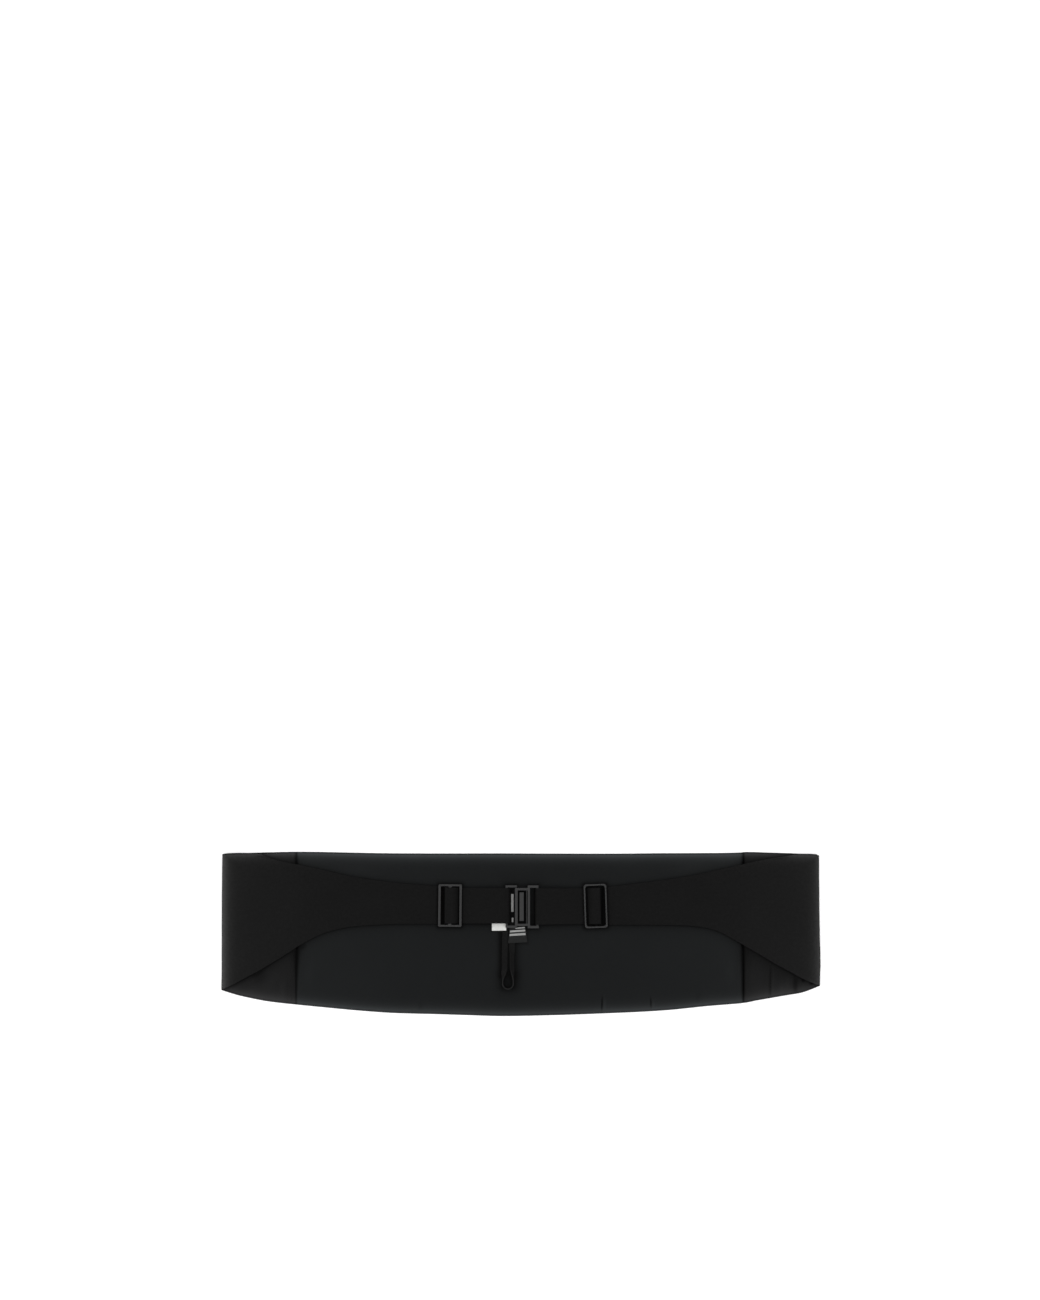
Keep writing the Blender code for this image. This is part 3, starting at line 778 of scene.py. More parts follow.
def make_beside_group():
    """Soft shadow beside a box: 1 - Depth * exp(-(distance / Reach) ^ 1.5), and Inside in the box."""
    numbers = {"Low X": 0.0, "High X": 0.0, "Low Y": 0.0, "High Y": 0.0}
    numbers.update({"Depth": 0.5, "Reach": 0.001, "Inside": 1.0})
    group, given, out = new_group("beside a box", "Place", numbers, ("Shade",))
    axes = axes_of(group, given.outputs["Place"])
    squares = []
    for axis in ("X", "Y"):
        under = work_out(group, "SUBTRACT", given.outputs["Low " + axis], axes[axis])
        over = work_out(group, "SUBTRACT", axes[axis], given.outputs["High " + axis])
        away = work_out(group, "MAXIMUM", work_out(group, "MAXIMUM", under, over), 0.0)
        squares.append(work_out(group, "MULTIPLY", away, away))
    distance = work_out(group, "SQRT", work_out(group, "ADD", *squares))
    share = work_out(group, "POWER", work_out(group, "DIVIDE", distance, given.outputs["Reach"]), 1.5)
    fall = work_out(group, "EXPONENT", work_out(group, "MULTIPLY", share, -1.0))
    beside = work_out(group, "SUBTRACT", 1.0, work_out(group, "MULTIPLY", given.outputs["Depth"], fall))
    outside = work_out(group, "GREATER_THAN", distance, 0.000001)
    feed(group, out.inputs["Shade"], mix(group, "FLOAT", outside, given.outputs["Inside"], beside))
    return group


THREADS = make_weave_group()
MOTTLE = make_mottle_group()
SATIN = make_satin_group()
MOULDED = make_moulded_group()
BESIDE = make_beside_group()


def start_material(name, **constants):
    """A material and its shader, with the values that are the same all over set on the shader."""
    material = bpy.data.materials.new(name)
    material.use_nodes = True
    tree = material.node_tree
    shader = tree.nodes["Principled BSDF"]
    for socket, value in constants.items():
        shader.inputs[socket.replace("_", " ")].default_value = value
    return material, tree, shader


def cloth_place(tree):
    """The cloth's own along and across, in metres."""
    return add_node(tree, "ShaderNodeUVMap", uv_map="cloth").outputs[0]


def solid_place(tree):
    return add_node(tree, "ShaderNodeTexCoord").outputs["Object"]


def stored(tree, name):
    """A number that is stored for each point."""
    return add_node(tree, "ShaderNodeAttribute", attribute_name=name).outputs["Fac"]


def tint(tree, colour, *shades):
    """A colour multiplied by shades."""
    result = None
    for shade in shades:
        result = shade if result is None else work_out(tree, "MULTIPLY", result, shade)
    node = add_node(tree, "ShaderNodeVectorMath", operation="SCALE")
    node.inputs[0].default_value = colour
    feed(tree, node.inputs["Scale"], result)
    return node.outputs[0]


def soft_shadows(tree, rows):
    """The product of the soft shadows in a table."""
    result = 1.0
    for (centre_x, centre_y, turn), (low_x, high_x, low_y, high_y), depth, reach, inside in rows:
        about = add_node(tree, "ShaderNodeMapping", vector_type="TEXTURE")
        feed(tree, about.inputs["Vector"], solid_place(tree))
        about.inputs["Location"].default_value = (centre_x * MM, centre_y * MM, 0.0)
        about.inputs["Rotation"].default_value = (0.0, 0.0, math.radians(turn))
        box = {"Low_X": low_x * MM, "High_X": high_x * MM, "Low_Y": low_y * MM, "High_Y": high_y * MM}
        beside = use_group(
            tree, BESIDE, Place=about.outputs[0], Depth=depth, Reach=reach * MM, Inside=inside, **box
        )
        result = work_out(tree, "MULTIPLY", result, beside.outputs["Shade"])
    return result


def roughen(tree, shader, height, distance, strength=1.0):
    """A Bump node from a height into the shader's normal."""
    bump = add_node(tree, "ShaderNodeBump")
    bump.inputs["Distance"].default_value = distance
    bump.inputs["Strength"].default_value = strength
    feed(tree, bump.inputs["Height"], height)
    feed(tree, shader.inputs["Normal"], bump.outputs[0])


def make_satin(name, colour, roughness, level, threads=3200.0, shadows=()):
    """Smooth satin: fine floats along the cloth, with a slow change of shade."""
    material, tree, shader = start_material(name, Specular_IOR_Level=level)
    cloth = cloth_place(tree)
    satin = use_group(tree, SATIN, Cloth=cloth, Threads=threads)
    patches = use_group(tree, MOTTLE, Place=cloth, Size=0.035, Amount=0.10)
    shade = patches.outputs["Shade"]
    # Painted light and shade: the stored painted shading and the painted soft shadows multiply the colour.
    painted_shading = stored(tree, "painted_shading")
    if shadows:
        painted_shading = work_out(tree, "MULTIPLY", painted_shading, soft_shadows(tree, shadows))
    feed(tree, shader.inputs["Base Color"], tint(tree, colour, satin.outputs["Shade"], shade, painted_shading))
    feed(tree, shader.inputs["Roughness"], work_out(tree, "MULTIPLY", shade, roughness))
    roughen(tree, shader, satin.outputs["Height"], 0.00003, 0.5)
    return material


def make_wing_finish(name):
    """Matt woven cloth outside and smooth lining inside, split by the attribute called inside."""
    material, tree, shader = start_material(name, Specular_IOR_Level=WING_LEVEL)
    cloth = cloth_place(tree)
    inside = stored(tree, "inside")
    weave = use_group(tree, THREADS, Cloth=cloth, Along=4600.0, Across=3800.0, Twill=0.55, Unevenness=0.5)
    satin = use_group(tree, SATIN, Cloth=cloth, Threads=3200.0)
    grain = use_group(tree, MOTTLE, Place=cloth, Size=0.002, Amount=0.38)
    patches = use_group(tree, MOTTLE, Place=cloth, Size=0.03, Amount=0.08)
    painted_shading = stored(tree, "painted_shading")
    # Slow random patches, times the stored painted light and shade and the painted soft shadows beside the
    # slides.
    mottle_and_painted_shading = work_out(tree, "MULTIPLY", painted_shading, patches.outputs["Shade"])
    mottle_and_painted_shading = work_out(tree, "MULTIPLY", mottle_and_painted_shading, soft_shadows(tree, CLOTH_SHADOWS))
    outer = tint(tree, WING_BLACK, weave.outputs["Shade"], grain.outputs["Shade"], mottle_and_painted_shading)
    inner = tint(tree, SIDE_BLACK, satin.outputs["Shade"], mottle_and_painted_shading)
    feed(tree, shader.inputs["Base Color"], mix(tree, "RGBA", inside, outer, inner))
    rough = add_node(tree, "ShaderNodeMapRange")
    feed(tree, rough.inputs["Value"], inside)
    rough.inputs["To Min"].default_value = WING_ROUGHNESS
    rough.inputs["To Max"].default_value = LINING_ROUGHNESS
    feed(tree, shader.inputs["Roughness"], rough.outputs[0])
    floats = work_out(tree, "MULTIPLY", satin.outputs["Height"], 0.2)
    roughen(tree, shader, mix(tree, "FLOAT", inside, weave.outputs["Height"], floats), 0.00009, 0.6)
    return material


def make_tape_finish(name, colour):
    """Ribbed narrow tape: ribs run across it."""
    material, tree, shader = start_material(name, Specular_IOR_Level=0.06, Roughness=0.8)
    cloth = cloth_place(tree)
    ribs = use_group(tree, THREADS, Cloth=cloth, Along=5200.0, Across=1800.0, Twill=0.0, Unevenness=0.3)
    patches = use_group(tree, MOTTLE, Place=cloth, Size=0.002, Amount=0.2)
    # The stored painted highlight multiplies the tape's colour.
    painted_shading = stored(tree, "painted_shading")
    shade = tint(tree, colour, ribs.outputs["Shade"], patches.outputs["Shade"], painted_shading)
    feed(tree, shader.inputs["Base Color"], shade)
    roughen(tree, shader, ribs.outputs["Height"], 0.00012, 0.8)
    return material


def make_label_finish(name, ground, bars=(), level=0.2):
    """Woven label: fine threads, with plain light bars woven in.

    Bars are (from, to, low, high) in millimetres, along and across the label.
    """
    material, tree, shader = start_material(name, Specular_IOR_Level=level, Roughness=0.75)
    cloth = cloth_place(tree)
    weave = use_group(tree, THREADS, Cloth=cloth, Along=7200.0, Across=6400.0, Twill=0.0, Unevenness=0.2)
    patches = use_group(tree, MOTTLE, Place=cloth, Size=0.0016, Amount=0.12)
    axes = axes_of(tree, cloth)
    mask = 0.0
    for start, end, low, high in bars:
        inside = 1.0
        for axis, first, last in (("X", start, end), ("Y", low, high)):
            middle = (first + last) / 2 * MM
            half = (last - first) / 2 * MM
            within = work_out(tree, "COMPARE", axes[axis], middle, half)
            inside = work_out(tree, "MULTIPLY", inside, within)
        mask = work_out(tree, "MAXIMUM", mask, inside)
    plain = tint(tree, ground, weave.outputs["Shade"], patches.outputs["Shade"])
    light = tint(tree, BAR_WHITE, weave.outputs["Shade"])
    feed(tree, shader.inputs["Base Color"], mix(tree, "RGBA", mask, plain, light))
    roughen(tree, shader, weave.outputs["Height"], 0.00006, 0.7)
    return material


def make_hard_finish(name, colour, roughness, level=HARD_LEVEL):
    """Moulded dark grey, with a fine grain and rubbed patches."""
    material, tree, shader = start_material(name, Specular_IOR_Level=level)
    place_on = solid_place(tree)
    skin = use_group(tree, MOULDED, Place=place_on, Grain=5200.0)
    shade = work_out(tree, "MULTIPLY_ADD", skin.outputs["Rubbed"], 0.24, 0.88)
    feed(tree, shader.inputs["Base Color"], tint(tree, colour, shade))
    rough = work_out(tree, "MULTIPLY_ADD", skin.outputs["Rubbed"], 0.16, roughness - 0.08)
    feed(tree, shader.inputs["Roughness"], rough)
    roughen(tree, shader, skin.outputs["Height"], 0.00002, 0.4)
    return material


def make_thread_finish(name, colour):
    """Sewing thread: twisted plies along each stitch."""
    material, tree, shader = start_material(name, Specular_IOR_Level=0.15, Roughness=0.7)
    cloth = cloth_place(tree)
    plies = use_group(tree, THREADS, Cloth=cloth, Along=2600.0, Across=2600.0, Twill=1.0, Unevenness=0.2)
    feed(tree, shader.inputs["Base Color"], tint(tree, colour, plies.outputs["Shade"]))
    roughen(tree, shader, plies.outputs["Height"], 0.00005, 0.6)
    return material


# Cloth.


def panel_stations():
    """X of the panel's sections, closest at its seams and creases."""
    places = [-LEFT_SEAM, RIGHT_SEAM] + [row[0] for row in LINING_FOLDS if row[3] < 1.0]
    return spread(-LEFT_SEAM, RIGHT_SEAM, 1.5, places, FINE_STEP, FINE_REACH)


def panel_form(x, y, top, bottom):
    """Height of the lined panel.

    A rounded ramp up from the top and bottom edges, less the dips of the two seams.
    """
    inside = np.minimum(top - y, y - bottom)
    rise = 1 - (1 - np.clip(inside / EDGE_REACH, 0, 1)) ** EDGE_SLOPE
    height = EDGE_HEIGHT + (PANEL_TOP - EDGE_HEIGHT) * rise
    left = seam_dip(-1, x + LEFT_SEAM, y)
    right = seam_dip(1, RIGHT_SEAM - x, y)
    return np.maximum(height - left - right, np.minimum(height, SEAM_FLOOR))


def edge_puckers(x, inside, height):
    """Small uneven pulls of an edge's seam, which fade out a few millimetres in from the edge."""
    pull = np.sin(x / 1.9 + 1.5 * np.sin(x / 23.0)) + 0.7 * np.sin(x / 3.1 + 2.0)
    return height * pull * np.exp(-inside / 3.0)


def make_panel():
    """The front panel: outer satin flat on the surface, and the lining over it.

    Each is a ring of points around its section, carried along X.
    """
    x = panel_stations()[:, None]
    share = spread(0, PANEL_TALL, 1.35, (0, PANEL_TALL), 0.16, 3.0)[None, :] / PANEL_TALL
    top = top_edge(x)
    bottom = bottom_edge(x)
    y = bottom + (top - bottom) * share
    inside = np.minimum(top - y, y - bottom)
    form = panel_form(x, y, top, bottom)
    between = form * SHELL / PANEL_TOP
    gap = GAP * ease(inside / 3.0)
    nose = np.sqrt(1 - (1 - np.clip(inside / EDGE_NOSE, 0, 1)) ** 2)
    across_x = np.broadcast_to(x, y.shape)

    folds = soft_folds(LINING_FOLDS, x, y) + slow_waves(x, y, 0.07, 64.0)
    folds = folds * ease(inside / 4.0) + edge_puckers(x, inside, 0.02)
    near_end = np.minimum(x + LEFT_SEAM, RIGHT_SEAM - x)
    folds = folds * ease(near_end / 6.0)
    lining_low = between + gap
    lining_top = lining_low + (form - lining_low) * nose + folds
    ring_x = round_ring(across_x, across_x)
    ring_y = round_ring(y, y)
    rings = as_points(ring_x, ring_y, round_ring(lining_top, lining_low))
    cloth = as_points(ring_x, ring_y)
    satin = make_satin("lining satin", LINING_BLACK, LINING_ROUGHNESS, LINING_LEVEL, shadows=LINING_SHADOWS)
    lining = add_wall("panel_lining_cloth", rings, satin, cloth)
    # Painted light and shade: highlights along the outer edges, shadows under the wings, straps and clasp,
    # and shade in folds and seam dips.
    painted_shading = painted_edge_light(ring_x, ring_y) * painted_under_shadow(ring_x, ring_y, UNDER_STRAP_TONE)
    painted_shading = painted_shading * painted_fold_shading(LINING_FOLDS, ring_x, ring_y)
    painted_shading = painted_shading * painted_seam_shade(-1, ring_x + LEFT_SEAM, ring_y)
    painted_shading = painted_shading * painted_seam_shade(1, RIGHT_SEAM - ring_x, ring_y)
    store(lining, "painted_shading", painted_shading)
    place(lining, "front_lining", "lining_satin")

    shell_low = between * (1 - nose) + pressed_pleats(x, y, top)
    shell_low = np.minimum(shell_low, between * (1 - nose / 2))
    rings = as_points(ring_x, ring_y, round_ring(between, shell_low))
    satin = make_satin("outer satin", OUTER_BLACK, 0.36, 0.4, 2600.0)
    outer = add_wall("panel_outer_satin", rings, satin, cloth)
    store(outer, "painted_shading", painted_shading)
    place(outer, "front_shell", "shell_satin")
    length = float(x[-1, 0] - x[0, 0]) * MM
    area = float(np.trapz((top - bottom)[:, 0], x[:, 0])) * MM * MM
    return outer, lining, (length, float((top - bottom).max()) * MM), area


def pressed_pleats(x, y, top):
    """Outer face: each pleat lies on the next, so its face climbs slowly and then steps back."""
    down = top - y - PLEATS_START
    pleats = np.clip(down, 0, None) / PLEAT
    climb = pleats - np.floor(pleats)
    step = ease(climb / PLEAT_CLIMB) * ease((1 - climb) / PLEAT_STEP)
    shut = ease(down / 2.0) * ease((x + LEFT_SEAM) / 4.0) * ease((RIGHT_SEAM - x) / 4.0)
    return PLEAT_LAP * step * shut + np.abs(soft_folds(OUTER_FOLDS, x, y)) * 0.5


def rounded_path(corners, run_step, arc_step):
    """Straight runs joined by arcs. Each corner is out, up and the radius of its bend."""
    pieces = []
    start = np.array(corners[0][:2])
    for before, corner, after in zip(corners, corners[1:], corners[2:]):
        at = np.array(corner[:2])
        way_in = at - before[:2]
        way_in = way_in / np.linalg.norm(way_in)
        way_out = after[:2] - at
        way_out = way_out / np.linalg.norm(way_out)
        turn = math.atan2(way_in[0] * way_out[1] - way_in[1] * way_out[0], way_in @ way_out)
        back = corner[2] * math.tan(abs(turn) / 2)
        arc_start = at - way_in * back
        runs = max(1, math.ceil(np.linalg.norm(arc_start - start) / run_step))
        pieces.append(start + (arc_start - start) * np.arange(runs)[:, None] / runs)
        to_centre = np.array([-way_in[1], way_in[0]]) * math.copysign(corner[2], turn)
        arcs = max(1, math.ceil(abs(turn) / arc_step))
        angle = turn * np.arange(arcs) / arcs
        turned = as_points(
            np.cos(angle) * to_centre[0] - np.sin(angle) * to_centre[1],
            np.sin(angle) * to_centre[0] + np.cos(angle) * to_centre[1],
        )
        pieces.append(arc_start + to_centre - turned)
        start = at + way_out * back
    end = np.array(corners[-1][:2])
    runs = max(1, math.ceil(np.linalg.norm(end - start) / run_step))
    pieces.append(start + (end - start) * np.arange(runs + 1)[:, None] / runs)
    return np.vstack(pieces)


def wing_route(seam, slide, strap_end):
    """Middle line of a wing's wall, as out and up, from its seam to the strap's sewn end.

    The lower layer is straight. It rises in a quarter ellipse to the outermost line, comes over in
    a longer one to the crown, and settles on the panel. The strap's turns are arcs.
    """
    fold = HALF_LENGTH - WING / 2
    low = WING / 2
    rise_at = fold - FOLD_UNDER
    lower = as_points(spread(seam - SEAM_LAP, rise_at, 1.1, (seam,), FINE_STEP, FINE_REACH)[:-1], low)
    angle = np.radians(np.linspace(0, 90, 12))[:-1]
    under = as_points(
        rise_at + FOLD_UNDER * np.sin(angle),
        low + (FOLD_WIDEST - low) * (1 - np.cos(angle)),
    )
    angle = np.radians(np.linspace(0, 90, 22))[:-1]
    over = as_points(
        fold - FOLD_OVER * (1 - np.cos(angle)),
        FOLD_WIDEST + (FOLD_CROWN - FOLD_WIDEST) * np.sin(angle),
    )
    settled = HALF_LENGTH - FOLD_SETTLED_IN
    crown_at = fold - FOLD_OVER
    out = np.linspace(crown_at, settled, 26)[:-1]
    share = ease((out - settled) / (crown_at - settled))
    settling = as_points(out, WING_MID + (FOLD_CROWN - WING_MID) * share)
    turn = strap_end + STRAP / 2
    turn_radius = (OVER_BAR_MID - STRAP_MID) / 2
    strap = rounded_path(
        (
            (settled, WING_MID, 0.0),
            (slide + 5.0, WING_MID, 1.2),
            (slide + 3.5, OVER_BAR_MID, 1.3),
            (slide - 2.2, OVER_BAR_MID, 2.2),
            (slide - 5.6, STRAP_MID, 2.0),
            (slide - 9.0, STRAP_MID, 10.0),
            (turn + 5.0, OVER_BAR_MID, 10.0),
            (turn, OVER_BAR_MID, turn_radius),
            (turn, STRAP_MID, turn_radius),
            (turn + 5.0, STRAP_MID, 10.0),
            (slide - 9.5, RETURN_MID, 10.0),
            (slide - 4.2, RETURN_MID, 1.5),
            (slide - 0.4, STRAP_MID, 0.0),
        ),
        1.35,
        math.radians(11),
    )
    return np.vstack([lower, under, over, settling, strap])


def make_wing(name, side, finish):
    """A wing and its strap: a wall along wing_route, as wide as the tables say.

    Each section is a rounded bar: offset is half the thickness, times a quarter ellipse at the two
    edges. The side that shows takes the folds, and the other side stays smooth.
    """
    seam = SEAMS[side]
    slide = side * SLIDES[side][0]
    route = wing_route(seam, slide, STRAP_ENDS[side])
    out = route[:, :1]
    up = route[:, 1:]
    steps = np.diff(route, axis=0)
    steps = steps / np.linalg.norm(steps, axis=1, keepdims=True)
    heading = np.vstack([steps[:1], steps[:-1] + steps[1:], steps[-1:]])
    heading = heading / np.linalg.norm(heading, axis=1, keepdims=True)
    travelled = np.concatenate([[0.0], np.cumsum(np.linalg.norm(np.diff(route, axis=0), axis=1))])[:, None]
    lower_layer = np.arange(len(route))[:, None] < int(np.argmax(out))
    at_fold = ease((out - (HALF_LENGTH - 26.0)) / 20.0)
    upper_top = smooth_curve(WINGS[side], 1, out) + at_fold * smooth_curve(PROUD, 1, side * out)
    upper_bottom = smooth_curve(WINGS[side], 2, out) - at_fold * smooth_curve(PROUD, 2, side * out)
    top = np.where(lower_layer, top_edge(side * out), upper_top)
    bottom = np.where(lower_layer, bottom_edge(side * out), upper_bottom)

    share = spread(0, 1, 1 / 78, (0, 1), 1 / 240, 0.03)[None, :]
    edge = WING_EDGE
    angle = np.radians(np.linspace(0, 90, 7))[None, :-1]
    inner = (edge + (top - bottom - 2 * edge) * share) + bottom
    low_edge = bottom + edge * (1 - np.cos(angle))
    high_edge = top - edge * (1 - np.cos(angle))
    y_side = np.hstack([low_edge, inner, high_edge[:, ::-1]])
    height = np.hstack([np.sin(angle), np.ones(share.shape), np.sin(angle)[:, ::-1]])
    half = np.where(out > slide + THICK_PAST_SLIDE, WING, STRAP) / 2 * height
    x_side = side * np.broadcast_to(out, y_side.shape)

    from_seam = out - seam
    inside = np.minimum(y_side - bottom, top - y_side)
    lower_folds = soft_folds(SIDE_FOLDS[side], x_side, y_side) + seam_bulk(from_seam, inside)
    lower_folds = lower_folds - seam_dip(side, from_seam, y_side)
    lower_folds = np.maximum(lower_folds, -DEEPEST_FOLD) * ease(inside / 1.2)
    upper_folds = soft_folds(WING_FOLDS[side], x_side, y_side) + slow_waves(x_side, y_side, 0.05, 58.0)
    on_strap = ease((slide + 16.0 - out) / 12.0)
    upper_folds = upper_folds * ease(inside / 3.0) * (1 - on_strap)
    showing_inner = np.where(lower_layer, lower_folds, 0.0)
    showing_outer = np.where(lower_layer, 0.0, upper_folds)

    offset = round_ring(half + showing_inner, -half - showing_outer)
    ring_y = round_ring(y_side, y_side)
    near_fold = ease((out - (HALF_LENGTH - 24.0)) / 22.0)
    proud = near_fold * (smooth_curve(ENDS[side], 1, ring_y) + 0.07 * np.sin(ring_y / 8.0 + side))
    ring_x = side * (out + proud - heading[:, 1:] * offset)
    ring_z = up + heading[:, :1] * offset
    cloth = as_points(travelled, ring_y)
    wing = add_wall(name, as_points(ring_x, ring_y, ring_z), finish, cloth)
    inside_face = np.zeros(ring_y.shape)
    inside_face[:, : y_side.shape[1]] = 1.0
    inside_face[travelled[:, 0] > travelled[int(np.argmax(out)), 0] + LINED_PAST_FOLD] = 0.0
    store(wing, "inside", inside_face)
    # Painted light and shade: on the lower layer, shade in the seam dip, shadow under the upper layer and in
    # folds, and light along the top edge; on the upper layer, light and shade in its folds; on both,
    # highlights along the outer edges.
    below = painted_seam_shade(side, -from_seam, ring_y)
    below = below * painted_under_shadow(ring_x, ring_y, UNDER_WING_TONE[side])
    below = below * painted_fold_shading(SIDE_FOLDS[side], ring_x, ring_y)
    to_top = np.clip(top_edge(ring_x) - ring_y, 0, None)
    paler = SIDE_TOP_TONE[0] * ease((188.0 - np.abs(ring_x)) / 14.0)
    below = below * (1 + paler * np.exp(-to_top / SIDE_TOP_TONE[1]))
    above = painted_fold_shading(WING_FOLDS[side], ring_x, ring_y)
    store(wing, "painted_shading", painted_edge_light(ring_x, ring_y) * np.where(lower_layer, below, above))

    cut_length = float(travelled[-1, 0]) * MM
    cut_width = float((top - bottom).max()) * MM
    cut_area = float(np.trapz((top - bottom)[:, 0], travelled[:, 0])) * MM * MM
    return wing, (cut_length, cut_width), cut_area


def make_wings():
    finish = make_wing_finish("wing cloth")
    for name, node, side in (("wing_left_cloth", "wing_left", -1), ("wing_right_cloth", "wing_right", 1)):
        wing, flat, area = make_wing(name, side, finish)
        place(wing, node, "wing_cloth")


def beside_seam_height(side, x, y):
    """Top of a wing's lower layer."""
    from_seam = side * x - SEAMS[side]
    inside = np.minimum(top_edge(x) - y, y - bottom_edge(x))
    folds = soft_folds(SIDE_FOLDS[side], x, y)
    return WING + folds + seam_bulk(from_seam, inside) - seam_dip(side, from_seam, y)


def make_stitches(name, side, rows, finish):
    """Rows of short stitches: each is a low arch of thread, a tube with closed ends."""
    around = np.radians(np.arange(THREAD_SIDES) * 360 / THREAD_SIDES)
    along = np.linspace(-1, 1, THREAD_RINGS)
    thin = np.sqrt(np.clip(1 - along**4, 0.02, 1))
    centres = []
    for top_x, bottom_x, high, low in rows:
        y = np.arange(high, low, -STITCH_PITCH)
        centres.append(as_points(top_x + (bottom_x - top_x) * (high - y) / (high - low), y))
    centres = np.vstack(centres)[:, None, None, :]
    tube_x = THREAD * np.cos(around)[None, None, :] * thin[None, :, None]
    tube_z = THREAD * np.sin(around)[None, None, :] * thin[None, :, None]
    tube_y = STITCH_LENGTH / 2 * along[None, :, None]
    arch = STITCH_ARCH * (1 - along**2)[None, :, None] - THREAD / 2
    x = centres[..., 0] + tube_x
    y = centres[..., 1] + tube_y + 0 * tube_x
    z = beside_seam_height(side, centres[..., 0], y) + arch + tube_z
    stitch = THREAD_SIDES * THREAD_RINGS
    firsts = range(0, stitch * len(centres), stitch)
    quads = np.concatenate([grid_quads(THREAD_RINGS, THREAD_SIDES) + first for first in firsts])
    caps = [range(first, first + THREAD_SIDES)[::-1] for first in firsts]
    caps += [range(first + stitch - THREAD_SIDES, first + stitch) for first in firsts]
    return add_mesh(name, as_points(x, y, z), quads, finish, caps, as_points(y, x + z))


def make_seam_stitches():
    """The rows beside each seam, on the wing's lower layer."""
    thread = make_thread_finish("black thread", THREAD_BLACK)
    for name, side, rows in (
        ("seam_stitches_left", -1, LEFT_STITCH_ROWS),
        ("seam_stitches_right", 1, RIGHT_STITCH_ROWS),
    ):
        stitches = make_stitches(name, side, rows, thread)
        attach(stitches, BODY)


def make_loop():
    """The button loop: a tape down one leg, round its end and up the other.

    It lies flat in the legs and rolls on edge round the end. The section is a rounded bar.
    """
    turn_y = LOOP_END + LOOP_EYE_HALF + LOOP_THICKNESS / 2
    leg = np.linspace(LOOP_TOP, turn_y, LOOP_LEG_POINTS + 1)[:-1]
    angle = np.radians(np.linspace(0, 180, 37))
    on_leg = np.ones(LOOP_LEG_POINTS)
    share = np.concatenate([-on_leg, -np.cos(angle), on_leg])[:, None]
    y = np.concatenate([leg, turn_y - LOOP_EYE_HALF * np.sin(angle), leg[::-1]])[:, None]
    above_turn = y - turn_y
    rolled = 1 - ease((above_turn - LOOP_EYE_FLAT) / LOOP_ROLL_LENGTH)
    half = LOOP_LEG_HALF + (LOOP_EYE_HALF - LOOP_LEG_HALF) * rolled
    loose = LOOP_TWIST * (share > 0) * ease((-9.0 - y) / 7.0) * (1 - rolled)
    roll = math.pi / 2 * rolled + loose
    round_end = above_turn < 0
    inward_y = np.where(round_end, np.sqrt(np.clip(1 - share**2, 0, 1)), 0.0)
    width = LOOP_TAPE / 2
    thick = LOOP_THICKNESS / 2
    section = np.radians(np.arange(0, 360, 15))
    flat_side = np.sign(np.cos(section)) * np.abs(np.cos(section)) ** 0.35 * width
    flat_face = np.sign(np.sin(section)) * np.abs(np.sin(section)) ** 0.6 * thick
    selvedge = 1 + 0.25 * np.exp(-(((np.abs(flat_side) - width * 0.9) / (0.12 * width)) ** 2))
    flat_face = flat_face * selvedge
    across = flat_side * np.cos(roll) - flat_face * np.sin(roll)
    rise = flat_side * np.sin(roll) + flat_face * np.cos(roll)
    low = (LOOP_TAPE * np.sin(roll) + LOOP_THICKNESS * np.cos(roll)) / 2 + 0.05
    wander = 0.22 * np.sin((y + 6.0) / 9.0) * (share < 0) - 0.18 * np.sin(y / 11.0) * (share > 0)
    middle = LOOP_LEGS_X + (LOOP_X - LOOP_LEGS_X) * rolled
    x = middle + share * half - share * across + wander * ease(above_turn / 8.0)
    ring_y = y + inward_y * across
    z = LAID + low + rise + 0 * x
    rings = as_points(x, ring_y, z)
    steps = np.hypot(np.diff(share * half, axis=0), np.diff(y, axis=0))[:, 0]
    travelled = np.concatenate([[0.0], np.cumsum(steps)])[:, None]
    cloth = as_points(travelled, flat_side[None, :])
    loop = add_wall("button_loop_tape", rings, make_tape_finish("loop tape", TAPE_BLACK), cloth)
    # Painted highlight: the tape is paler where it rolls onto its edge round the end.
    store(loop, "painted_shading", np.broadcast_to(1 + LOOP_EDGE_TONE * rolled, rings.shape[:2]))
    return place(loop, "button_loop", "loop_tape")


def make_label(name, low_left, low_right, high_left, high_right, lift, thickness, droop, finish):
    """A small woven label with four given corners: a thin rounded wall with a slight curl.

    Its height comes from what lies under it, which lift gives for each x.
    """
    width = low_right[0] - low_left[0]
    tall = high_left[1] - low_left[1]
    across = np.linspace(0, 1, 70)[:, None]
    angle = np.radians(np.linspace(0, 90, 5))[None, :-1]
    edge = 0.25 / tall
    run = np.linspace(edge, 1 - edge, 44)[None, :]
    up = np.hstack([edge * (1 - np.cos(angle)), run, (1 - edge * (1 - np.cos(angle)))[:, ::-1]])
    low = [low_left[axis] + (low_right[axis] - low_left[axis]) * across for axis in (0, 1)]
    high = [high_left[axis] + (high_right[axis] - high_left[axis]) * across for axis in (0, 1)]
    x = low[0] + (high[0] - low[0]) * up
    y = low[1] + (high[1] - low[1]) * up
    height = np.hstack([np.sin(angle), np.ones(run.shape), np.sin(angle)[:, ::-1]]) * thickness / 2
    curl = droop * (2 * across - 1) ** 2 * (1 - up)
    middle = LAID + lift(x) + thickness / 2 + 0.05 + curl
    rings = as_points(round_ring(x, x), round_ring(y, y), round_ring(middle + height, middle - height))
    flat_x = np.broadcast_to(across * width, x.shape)
    flat_y = np.broadcast_to(up * tall, x.shape)
    cloth = as_points(round_ring(flat_x, flat_x), round_ring(flat_y, flat_y))
    return add_wall(name, rings, finish, cloth)


